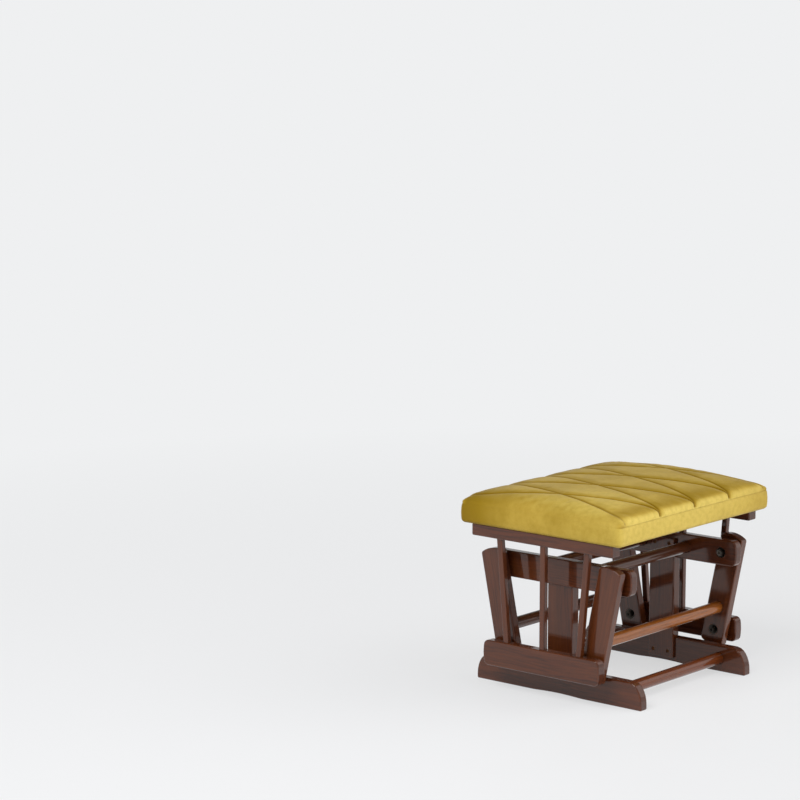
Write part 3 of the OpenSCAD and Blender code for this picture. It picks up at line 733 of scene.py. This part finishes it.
# A channel is a sharp crease in a wide hollow, which takes its share of the channel's depth,
# is deeper near the front and rear seams, and has its own depth for the painted shade on its flanks
CREASE_WIDTH = 2.3
CREASE_POWER = 1.6
HOLLOW_SHARE = 2.0
HOLLOW_WIDTH = 8.0
HOLLOW_DEPTH = 0.6
HOLLOW_AT_SEAM = 1.0
HOLLOW_SEEN = 1.2
SEAM_REACH = 34
# Painted shade: a channel's flank that faces the front left is painted dark
SHADE_FACING_X = -0.76
SHADE_FACING_Y = -0.65
FLANK_SHADE = 2.8
FLANK_MOST = 0.4
# Painted light: 1 is a painted highlight, -1 is painted shade, and -2 is painted shade as dark as the
# thread
BRIGHTEST = 1
DARKEST = -2


def rim_distances(rows, columns):
    """Distance of the rows from the front or rear seam, and of the columns from a side seam."""
    row_mm, side_mm = (
        FINE_STEP * np.minimum(np.arange(n), n - 1 - np.arange(n)) for n in (rows, columns)
    )
    return row_mm[:, None], side_mm[None, :]


def gathers(away, row_mm):
    """Short folds of the cloth beside the ends of the lines."""
    height, wave, fade, reach = 0.3, 0.8, 14, 60
    return height * np.sin(away * wave) * np.exp(-away / fade) * np.clip(1 - row_mm / reach, 0, 1)


def slack_waves(x, y):
    """Long shallow waves of velvet that isn't drawn tight."""
    height, sway = 0.35, 1.3
    across_pace, sway_pace, deep_pace, slant = 0.045, 0.031, 0.05, 0.012
    across = np.sin(x * across_pace + sway * np.sin(y * sway_pace))
    return height * across * np.sin(y * deep_pace + x * slant)


def belly(away, row_mm, side_mm):
    """The padding's bulge over the front and rear seams, between the lines' ends."""
    height, middle, width, gap, start = 1.7, 13, 12, 5.5, 70
    bulge = height * bell(row_mm, middle, width) * (1 - bell(away, 0, gap))
    return bulge * eased(side_mm / start)


def seam_light(x, row_mm, side_mm):
    """Painted highlight over the front and rear seams, less at the right."""
    bright, less, less_by, width, start = 1.15, 0.5, 220, 18, 40
    here = bright - less * eased(x / less_by)
    return here * bell(row_mm, 0, width, power=3) * eased(side_mm / start)


def bend_shade(row_mm, side_mm):
    """Painted shade on the bends above those seams."""
    dark, middle, width, start = 0.48, 38, 24, 60
    return dark * bell(row_mm, middle, width) * eased(side_mm / start)


def sides_light_and_shade(y):
    """Painted light and shade on the sides: lighter toward the front, and painted shade at the rear.
    """
    middle, slope, rear, start = 0.05, 0.3, 1.2, 0.35
    share = y / (CUSHION_L / 2)
    return middle - slope * share - rear * eased((share - start) / (1 - start))


def side_light(y, row_mm, side_mm):
    """Painted light and shade along the side seams."""
    width, start = 40, 20
    return sides_light_and_shade(y) * bell(side_mm, 0, width) * eased(row_mm / start)


def top_light(x, y, row_mm, side_mm):
    """Painted light on the top, brighter at its front left corner."""
    plain, bright, start = 0.08, 0.5, 40
    left_from, left_reach, front_from, front_reach = -30, 150, 110, 200
    seam_from, seam_reach = 25, 50
    glow = bright * eased((left_from - x) / left_reach) * eased((front_from - y) / front_reach)
    return (plain + glow) * eased(side_mm / start) * eased((row_mm - seam_from) / seam_reach)


def quilted_crown(settings):
    """The crown's fine grid, how deep each point lies in a channel, and its painted light and shade.
    """
    rows, columns = FINE_ROWS, FINE_COLUMNS
    grid = plain_crown(rows, columns, settings)
    x, y = grid[..., 0], grid[..., 1]
    away = line_distance(x, y)
    lift = filling_lift(away, rows, columns, settings)
    row_mm, side_mm = rim_distances(rows, columns)
    inside = eased(np.clip(row_mm / SEAM_HELD, 0, 1) * np.clip(side_mm / SIDE_HELD, 0, 1))
    tight = LOOSE_PULL + (1 - LOOSE_PULL) * eased((side_mm - LOOSE_TO) / TIGHT_REACH)
    crease = bell(away, 0, CREASE_WIDTH, CREASE_POWER) * tight
    hollow = bell(away, 0, HOLLOW_WIDTH) * tight
    seam_near = bell(row_mm, 0, SEAM_REACH)
    crease_depth = settings.channel / MM - HOLLOW_SHARE
    rise = LIFT_SHARE * lift - SINK + gathers(away, row_mm) + slack_waves(x, y)
    rise = rise - crease_depth * crease - (HOLLOW_DEPTH + HOLLOW_AT_SEAM * seam_near) * hollow
    out = (rise + belly(away, row_mm, side_mm)) * inside
    plain = grid_normals(grid)
    # The channels' relief, from which the painted shade on their flanks is found
    channels = LIFT_SHARE * lift - crease_depth * crease - HOLLOW_SEEN * hollow
    flank = grid_normals(grid + plain * (channels * inside)[..., None]) - plain
    shade_facing = flank[..., 0] * SHADE_FACING_X + flank[..., 1] * SHADE_FACING_Y
    # Painted highlights and painted shade over the seams, the sides and the top, and painted shade on
    # the flanks
    bright = seam_light(x, row_mm, side_mm) - bend_shade(row_mm, side_mm)
    bright = bright + side_light(y, row_mm, side_mm) + top_light(x, y, row_mm, side_mm)
    bright = bright - FLANK_SHADE * np.clip(shade_facing, 0, FLANK_MOST)
    grid = grid + plain * out[..., None]
    grid[..., 2] = np.maximum(grid[..., 2], SEAM_Z - SEAM_DROP)
    return grid, crease * inside, np.clip(bright, DARKEST, BRIGHTEST)


# Shares of the side band's height where its rings lie: close at the seams, even between them
RINGS_BELOW_SEAM = 1 - np.array([0.03, 0.07, 0.13])
RINGS_OF_BAND = np.linspace(0.8, TUCK_SHARE, 12)
RINGS_OF_TUCK = np.array([0.12, 0.08, 0.045, 0.02, 0.0])
# How far the top seam draws the band in at the sides, how much more in front and at the rear,
# and how much painted shade lies on the seam and on the ring below it
SIDE_PINCH = 0.1
FRONT_PINCH = 1.1
SEAM_SHADE = 0.35
BELOW_SEAM_SHADE = 0.12
# Painted light on the band in front and at the rear, and how much less at its right end
BAND_LIGHT = 0.7
BAND_FADE = 0.5
# The pocket: half the width and depth, and the top, of the board and the foam with some play
POCKET_PLAY = 0.3
BOARD_POCKET = [edge / MM + POCKET_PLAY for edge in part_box("cushion_board")[1]]
FOAM_POCKET = [edge / MM + POCKET_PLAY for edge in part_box("foam_core")[1]]


def side_rings(loop, out, pinch):
    """Rings of the side band, from below the top seam down to the bottom."""
    for share in np.concatenate([RINGS_BELOW_SEAM, RINGS_OF_BAND, RINGS_OF_TUCK]):
        ring = loop + out * band_offset(share, pinch)
        ring[:, 2] = SEAT_Z + share * BAND_H
        yield ring


def pocket_rings(loop):
    """Rings of the pocket for the board and the foam, whose corners are square."""
    edge = loop[:, :2] / np.abs(loop[:, :2]).max(0)
    edge /= np.abs(edge).max(1, keepdims=True)
    board_w, board_l, board_z = BOARD_POCKET
    foam_w, foam_l, foam_z = FOAM_POCKET
    for half_w, half_l, z in (
        (board_w, board_l, SEAT_Z), (board_w, board_l, board_z),
        (foam_w, foam_l, board_z), (foam_w, foam_l, foam_z),
    ):
        yield np.stack([edge[:, 0] * half_w, edge[:, 1] * half_l, np.full(len(edge), z)], 1)


class OTTOMAN_OT_cushion_cover(bpy.types.Operator):
    """Make the quilted velvet cover: crown, stitched channels, side band and pocket"""

    bl_idname = "ottoman.cushion_cover"
    bl_label = "Cushion Cover"

    def execute(self, context):
        settings = context.scene.ottoman_cushion
        grid, deep, bright = quilted_crown(settings)
        rows, columns = grid.shape[:2]
        points = [grid.reshape(-1, 3)]
        faces = grid_faces(rows, columns)
        rim = rim_index(rows, columns)
        loop = points[0][rim]
        out = outward(loop)
        # The seam shows at the front and the rear, and hardly at the sides
        front_share = np.abs(out[:, 1]) ** 2
        pinch = SIDE_PINCH + FRONT_PINCH * front_share
        points[0][rim] += out * band_offset(1.0, pinch)
        rings = [rim]
        total = rows * columns
        for ring in (*side_rings(loop, out, pinch), *pocket_rings(loop)):
            ids = np.arange(total, total + len(ring))
            total += len(ring)
            points.append(ring)
            faces.extend(ring_faces(rings[-1], ids))
            rings.append(ids)
        points.append(np.array([[0, 0, FOAM_POCKET[2]]]))
        last = rings[-1]
        faces.extend((last[i], total, last[(i + 1) % len(last)]) for i in range(len(last)))

        mesh = bpy.data.meshes.new("cushion_cover")
        mesh.from_pydata(
            (np.concatenate(points) * MM).tolist(), [], [tuple(int(i) for i in f) for f in faces]
        )
        # Painted shade in the stitched channels, on the top seam and on the ring below it
        channel = np.zeros(len(mesh.vertices), np.float32)
        channel[: rows * columns] = deep.reshape(-1)
        channel[rim] = SEAM_SHADE * pinch
        channel[rings[1]] = BELOW_SEAM_SHADE * pinch
        painted_light = np.zeros(len(mesh.vertices), np.float32)
        painted_light[: rows * columns] = bright.reshape(-1)
        # Painted light on the band in front and at the rear, and painted light and shade on its sides
        for ring in rings[1:]:
            painted_light[ring] = (BAND_LIGHT - BAND_FADE * eased(loop[:, 0] / CUSHION_W * 2)) * front_share
            painted_light[ring] += sides_light_and_shade(loop[:, 1]) * (1 - front_share)
        for name, values in (("channel", channel), ("painted_light", painted_light)):
            mesh.attributes.new(name, "FLOAT", "POINT").data.foreach_set("value", values)
        mesh.shade_smooth()
        mesh.validate()
        cover = bpy.data.objects.new("cushion_cover", mesh)
        context.scene.collection.objects.link(cover)
        mesh.materials.append(cut_velvet("cotton_velvet_cut_pile", settings))
        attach(cover, "seat")
        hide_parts("cushion")
        return {"FINISHED"}


def stitch_shape():
    """A ball of unit radius with few faces, to be stretched into a stitch."""
    around, levels = 6, 3
    points = [(0.0, 0.0, -1.0)]
    for j in range(1, levels + 1):
        tilt = math.pi * j / (levels + 1) - math.pi / 2
        for i in range(around):
            a = math.tau * i / around
            points.append((math.cos(tilt) * math.cos(a), math.cos(tilt) * math.sin(a), math.sin(tilt)))
    points.append((0.0, 0.0, 1.0))
    last = len(points) - 1
    faces = []
    for i in range(around):
        k = (i + 1) % around
        faces.append((0, 1 + k, 1 + i))
        for j in range(levels - 1):
            low = 1 + j * around
            faces.append((low + i, low + k, low + around + k, low + around + i))
        faces.append((last - around + i, last - around + k, last))
    return np.array(points), faces


# The thread: its radius, the share of it by which its middle lies above the velvet, half the
# length of a stitch as a share of its span, and the height from which the velvet is looked for
THREAD_RADIUS = 0.35
THREAD_ABOVE = 0.35
HALF_STITCH = 0.62
LOOK_FROM = 600


class OTTOMAN_OT_quilting_thread(bpy.types.Operator):
    """Sew the stitches along the cover's channels"""

    bl_idname = "ottoman.quilting_thread"
    bl_label = "Quilting Thread"

    def execute(self, context):
        settings = context.scene.ottoman_cushion
        cover = bpy.data.objects.get("cushion_cover")
        if cover is None:
            raise RuntimeError("make the cushion cover before its thread")
        tree = BVHTree.FromObject(cover, context.evaluated_depsgraph_get())
        thick = THREAD_RADIUS * MM
        blob, blob_faces = stitch_shape()
        points, faces = [], []
        for (x0, y0), (x1, y1) in stitch_lines():
            count = int(math.hypot(x1 - x0, y1 - y0) * MM / settings.stitch)
            seen = []
            for share in np.linspace(0, 1, count * 2 + 1):
                x, y = x0 + (x1 - x0) * share, y0 + (y1 - y0) * share
                start = Vector((x * MM, y * MM, LOOK_FROM * MM))
                hit, normal, _, _ = tree.ray_cast(start, Vector((0, 0, -1)))
                seen.append(hit + normal * thick * THREAD_ABOVE if hit else None)
            for a, b in zip(seen[1::2], seen[2::2]):
                if a is None or b is None or (b - a).length > settings.stitch:
                    continue
                turn = Vector((0, 0, 1)).rotation_difference(b - a).to_matrix()
                size = np.array([thick, thick, (b - a).length * HALF_STITCH])
                faces.extend(tuple(len(points) * len(blob) + i for i in f) for f in blob_faces)
                points.append((blob * size) @ np.array(turn).T + np.array((a + b) / 2))
        mesh = bpy.data.meshes.new("quilting_thread")
        mesh.from_pydata(np.concatenate(points).tolist(), [], faces)
        mesh.shade_smooth()
        thread = bpy.data.objects.new("quilting_thread", mesh)
        context.scene.collection.objects.link(thread)
        mesh.materials.append(twisted_thread("polyester_thread_twisted", settings))
        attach(thread, "seat")
        return {"FINISHED"}


# Pieces of the frame, and how far the links and the outer spindles lean, in degrees

LINK_LEAN = 11.69
SPINDLE_LEAN = 5.0


def leaning(side, degrees):
    """Upward, leaning to the rear where side is 1 and to the front where it is -1."""
    return (0, side * math.sin(math.radians(degrees)), math.cos(math.radians(degrees)))


def lean_of(name):
    """Direction of the grain in a wooden piece, along its own length."""
    if "_dowel" in name or name.startswith("cross_slat"):
        return (1, 0, 0)
    if "rail_" in name or name.startswith("crossbar"):
        return (0, 1, 0)
    side = -1 if "front" in name else 1
    if "_link_" in name:
        return leaning(side, LINK_LEAN)
    if name.startswith("spindle") and not name.endswith("middle"):
        return leaning(side, SPINDLE_LEAN)
    return (0, 0, 1)


class OTTOMAN_OT_woodwork(bpy.types.Operator):
    """Stain and lacquer the rails, posts, links, spindles, slats and dowels"""

    bl_idname = "ottoman.woodwork"
    bl_label = "Woodwork"

    def execute(self, context):
        settings = context.scene.ottoman_wood
        slots = {s["node"]: s["material_slot"] for s in frame["record"]["subparts"]}
        names = sorted(n for n, s in slots.items() if s in ("walnut", "walnut_dowel"))
        for seed, name in enumerate(names):
            # Turned wood shows its grain less
            faint = 0.5 if slots[name] == "walnut_dowel" else 0.0
            finish = stained_wood(
                "stained_beech_" + name, lean_of(name), settings, seed + 1,
                self.ground_of(name, settings), faint,
            )
            paint(name, finish, slots[name])
        return {"FINISHED"}

    def ground_of(self, name, settings):
        """The stain between a piece's grain lines; every stretcher but the front links' gets a darker
        copy of it as painted shade.
        """
        if name == "front_link_dowel":
            return settings.turned
        if name.startswith("foot_dowel"):
            return settings.foot_dowel
        return settings.shade_painted_dowel if "_dowel" in name else settings.stain


class OTTOMAN_OT_hardware(bpy.types.Operator):
    """Finish the bolts, washers, bearings, sleeves, inserts and screws"""

    bl_idname = "ottoman.hardware"
    bl_label = "Hardware"

    def execute(self, context):
        settings = context.scene.ottoman_steel
        turned = {"rough": 0.32, "scratch_mm": 0.4}
        finishes = {
            "zinc_steel": plated_steel("zinc_plated_steel_turned", settings.zinc, **turned),
            "bearing_steel": plated_steel(
                "bearing_steel_ground", settings.ring, rough=0.16, scratch_mm=0.2
            ),
            "bronzed_screw": plated_steel(
                "bronzed_steel_rolled", settings.bronze, rough=0.42, scratch_mm=0.5
            ),
        }
        # The lower bolts and all the washers get the darker copy of the zinc plate as painted shade
        shade_painted_steel = plated_steel("black_zinc_plated_steel_turned", settings.shade_painted_zinc, **turned)
        for sub in frame["record"]["subparts"]:
            name, slot = sub["node"], sub["material_slot"]
            if name == "lower_bolts" or name.endswith("washers"):
                paint(name, shade_painted_steel, slot)
            elif slot in finishes:
                paint(name, finishes[slot], slot)
        return {"FINISHED"}


class OTTOMAN_OT_cushion_core(bpy.types.Operator):
    """Finish the plywood board and the foam inside the cushion"""

    bl_idname = "ottoman.cushion_core"
    bl_label = "Cushion Core"

    def execute(self, context):
        paint("cushion_board", birch_plywood("birch_plywood_sawn"), "plywood")
        paint("foam_core", cut_foam("polyurethane_foam_cut"), "foam")
        return {"FINISHED"}


# The stage, in metres

FLOOR_SIDES = 96
FLOOR_RADIUS = 9.0
FADE_FROM = 0.9
FADE_TO = 3.0
FADE_LEAST = 0.68
KEY_PLACE = (3.2, -2.8, 1.9)
KEY_AIM = (0, 0, 0.25)
KEY_SIZE = 3.2
SIDE_PLACE = (-2.9, -0.2, 3.0)
SIDE_AIM = (0, 0, 0.2)
SIDE_SIZE = 2.2
# Directions of the broad front light, and of the dim room above the stage and before it
FRONT_LIGHT = (0.44, -0.88, 0.18)
DIM_ROOM = (0.13, -0.26, 1.0)
# The photograph's viewpoint, in metres and degrees, and its lens in millimetres
CAMERA_PLACE = (-4.9344, -3.5932, 1.5840)
CAMERA_AZIMUTH = -49.78
CAMERA_ELEVATION = 9.38
CAMERA_ROLL = 0.02
CAMERA_LENS = 136.27
SENSOR_WIDTH = 36.0
SIGHT = 100.0


class OTTOMAN_OT_stage(bpy.types.Operator):
    """Set up the pale floor, the soft light and the camera"""

    bl_idname = "ottoman.stage"
    bl_label = "Stage"

    def execute(self, context):
        settings = context.scene.ottoman_stage
        context.scene.view_settings.view_transform = "Standard"
        self.make_floor(context, settings)
        self.make_world(context, settings)
        self.add_lamp(context, "key_softbox", KEY_PLACE, KEY_AIM, KEY_SIZE, settings.key)
        self.add_lamp(context, "side_softbox", SIDE_PLACE, SIDE_AIM, SIDE_SIZE, settings.side)
        self.add_camera(context)
        return {"FINISHED"}

    def seen_directly(self, tree):
        """1 on rays by which the eye, gloss or glass sees a surface, and 0 on other rays."""
        path = add_node(tree, "LightPath")
        seen = path.outputs["Is Camera Ray"]
        for kind in ("Is Glossy Ray", "Is Transmission Ray"):
            seen = add_node(
                tree, "Math", {0: seen, 1: path.outputs[kind]}, operation="MAXIMUM"
            ).outputs[0]
        return seen

    def make_floor(self, context, settings):
        """A flat round floor, painted, with faint scuffs. To the eye it fades into the backdrop,
        which also lightens the shadows on it."""
        bpy.ops.mesh.primitive_circle_add(
            vertices=FLOOR_SIDES, radius=FLOOR_RADIUS, fill_type="NGON"
        )
        floor = context.active_object
        floor.name = floor.data.name = "studio_floor"
        mat, tree, place = new_material("painted_studio_floor")
        scuff = add_node(tree, "TexNoise", {"Vector": place, "Scale": per(166.7), "Detail": 5.0})
        uneven = add_node(
            tree, "MapRange",
            {
                "Value": scuff.outputs["Fac"], "From Min": 0.3, "From Max": 0.7,
                "To Min": 0.45, "To Max": 0.55,
            },
        )
        lit = add_node(
            tree, "BsdfPrincipled",
            {
                "Base Color": rgba(settings.floor),
                "Roughness": uneven.outputs[0],
                "Specular IOR Level": 0.2,
            },
        )
        plain = add_node(tree, "Emission", {"Color": rgba(settings.backdrop), "Strength": 1.0})
        away = add_node(tree, "VectorMath", {0: place}, operation="LENGTH")
        fade = add_node(
            tree, "MapRange",
            {
                "Value": away.outputs["Value"], "From Min": FADE_FROM, "From Max": FADE_TO,
                "To Min": FADE_LEAST,
            },
        )
        share = add_node(
            tree, "Math", {0: fade.outputs[0], 1: self.seen_directly(tree)},
            operation="MULTIPLY",
        )
        mixed = add_node(
            tree, "MixShader", {0: share.outputs[0], 1: lit.outputs[0], 2: plain.outputs[0]}
        )
        add_node(tree, "OutputMaterial", {"Surface": mixed.outputs[0]})
        floor.data.materials.append(mat)

    def make_world(self, context, settings):
        """Soft light, stronger from the front than from above, round a plain backdrop."""
        world = bpy.data.worlds.new("studio")
        context.scene.world = world
        world.use_nodes = True
        tree = world.node_tree
        tree.nodes.clear()
        toward = add_node(tree, "TexCoord").outputs["Generated"]
        height = add_node(tree, "SeparateXYZ", {0: toward}).outputs["Z"]
        day = add_node(
            tree, "MapRange",
            {
                "Value": height, "From Min": 0.1, "From Max": 0.9,
                "To Min": settings.daylight, "To Max": settings.daylight * 0.4,
            },
        )
        ahead = add_node(
            tree, "VectorMath", {0: toward, 1: FRONT_LIGHT}, operation="DOT_PRODUCT"
        )
        front = add_node(
            tree, "MapRange",
            {"Value": ahead.outputs["Value"], "From Min": 0.4, "To Max": settings.front},
        )
        strength = add_node(
            tree, "Math", {0: day.outputs[0], 1: front.outputs[0]}, operation="ADD"
        )
        light = add_node(
            tree, "Background", {"Color": (1, 1, 1, 1), "Strength": strength.outputs[0]}
        )
        # Gloss shows the pale backdrop too, with the dim room above it and before it
        room = add_node(tree, "VectorMath", {0: toward, 1: DIM_ROOM}, operation="DOT_PRODUCT")
        dim = add_node(
            tree, "MapRange",
            {
                "Value": room.outputs["Value"], "From Min": 0.1, "From Max": 0.4,
                "To Min": 1.0, "To Max": 0.12,
            },
        )
        eye = add_node(tree, "LightPath").outputs["Is Camera Ray"]
        ceiling = add_node(tree, "Math", {0: dim.outputs[0], 1: eye}, operation="MAXIMUM")
        plain = add_node(
            tree, "Background",
            {"Color": rgba(settings.backdrop), "Strength": ceiling.outputs[0]},
        )
        mixed = add_node(
            tree, "MixShader",
            {0: self.seen_directly(tree), 1: light.outputs[0], 2: plain.outputs[0]},
        )
        add_node(tree, "OutputWorld", {"Surface": mixed.outputs[0]})

    def add_lamp(self, context, name, place, aim, size, power):
        lamp = bpy.data.lights.new(name, "AREA")
        lamp.shape = "SQUARE"
        lamp.size = size
        lamp.energy = power
        obj = bpy.data.objects.new(name, lamp)
        context.scene.collection.objects.link(obj)
        obj.location = place
        obj.rotation_euler = (Vector(aim) - Vector(place)).to_track_quat("-Z", "Y").to_euler()

    def add_camera(self, context):
        """The photograph's own viewpoint, with a long lens and the ottoman off centre."""
        azimuth, elevation, roll = (
            math.radians(angle) for angle in (CAMERA_AZIMUTH, CAMERA_ELEVATION, CAMERA_ROLL)
        )
        right = Vector((math.cos(azimuth), math.sin(azimuth), 0))
        back = Vector((
            math.sin(azimuth) * math.cos(elevation),
            -math.cos(azimuth) * math.cos(elevation),
            math.sin(elevation),
        ))
        up = back.cross(right)
        turn = Matrix((right, up, back)).transposed() @ Matrix.Rotation(roll, 3, "Z")
        data = bpy.data.cameras.new("camera")
        data.lens = CAMERA_LENS
        data.sensor_width = SENSOR_WIDTH
        data.sensor_fit = "HORIZONTAL"
        data.clip_end = SIGHT
        camera = bpy.data.objects.new("camera", data)
        context.scene.collection.objects.link(camera)
        camera.matrix_world = Matrix.Translation(CAMERA_PLACE) @ turn.to_4x4()
        context.scene.camera = camera


class OTTOMAN_PT_panel(bpy.types.Panel):
    """The ottoman's settings and steps"""

    bl_idname = "OTTOMAN_PT_panel"
    bl_label = "Glider Ottoman"
    bl_space_type = "VIEW_3D"
    bl_region_type = "UI"
    bl_category = "Ottoman"

    def draw(self, context):
        for group, operators in PANEL_ROWS:
            box = self.layout.box()
            settings = getattr(context.scene, group)
            for name in settings.bl_rna.properties.keys():
                if name not in ("rna_type", "name"):
                    box.prop(settings, name)
            for operator in operators:
                box.operator(operator)


PANEL_ROWS = (
    ("ottoman_wood", ("ottoman.woodwork",)),
    ("ottoman_steel", ("ottoman.hardware",)),
    (
        "ottoman_cushion",
        ("ottoman.cushion_core", "ottoman.cushion_cover", "ottoman.quilting_thread"),
    ),
    ("ottoman_stage", ("ottoman.stage",)),
)
GROUPS = {
    "ottoman_wood": WoodSettings,
    "ottoman_steel": SteelSettings,
    "ottoman_cushion": CushionSettings,
    "ottoman_stage": StageSettings,
}
CLASSES = (
    WoodSettings, SteelSettings, CushionSettings, StageSettings,
    OTTOMAN_OT_woodwork, OTTOMAN_OT_hardware, OTTOMAN_OT_cushion_core,
    OTTOMAN_OT_cushion_cover, OTTOMAN_OT_quilting_thread, OTTOMAN_OT_stage,
    OTTOMAN_PT_panel,
)


def register():
    for cls in CLASSES:
        bpy.utils.register_class(cls)
    for name, group in GROUPS.items():
        setattr(bpy.types.Scene, name, bpy.props.PointerProperty(type=group))


def unregister():
    for name in GROUPS:
        delattr(bpy.types.Scene, name)
    for cls in reversed(CLASSES):
        bpy.utils.unregister_class(cls)


def main():
    register()
    bpy.ops.ottoman.stage()
    bpy.ops.ottoman.woodwork()
    bpy.ops.ottoman.hardware()
    bpy.ops.ottoman.cushion_core()
    bpy.ops.ottoman.cushion_cover()
    bpy.ops.ottoman.quilting_thread()


if __name__ == "__main__":
    main()
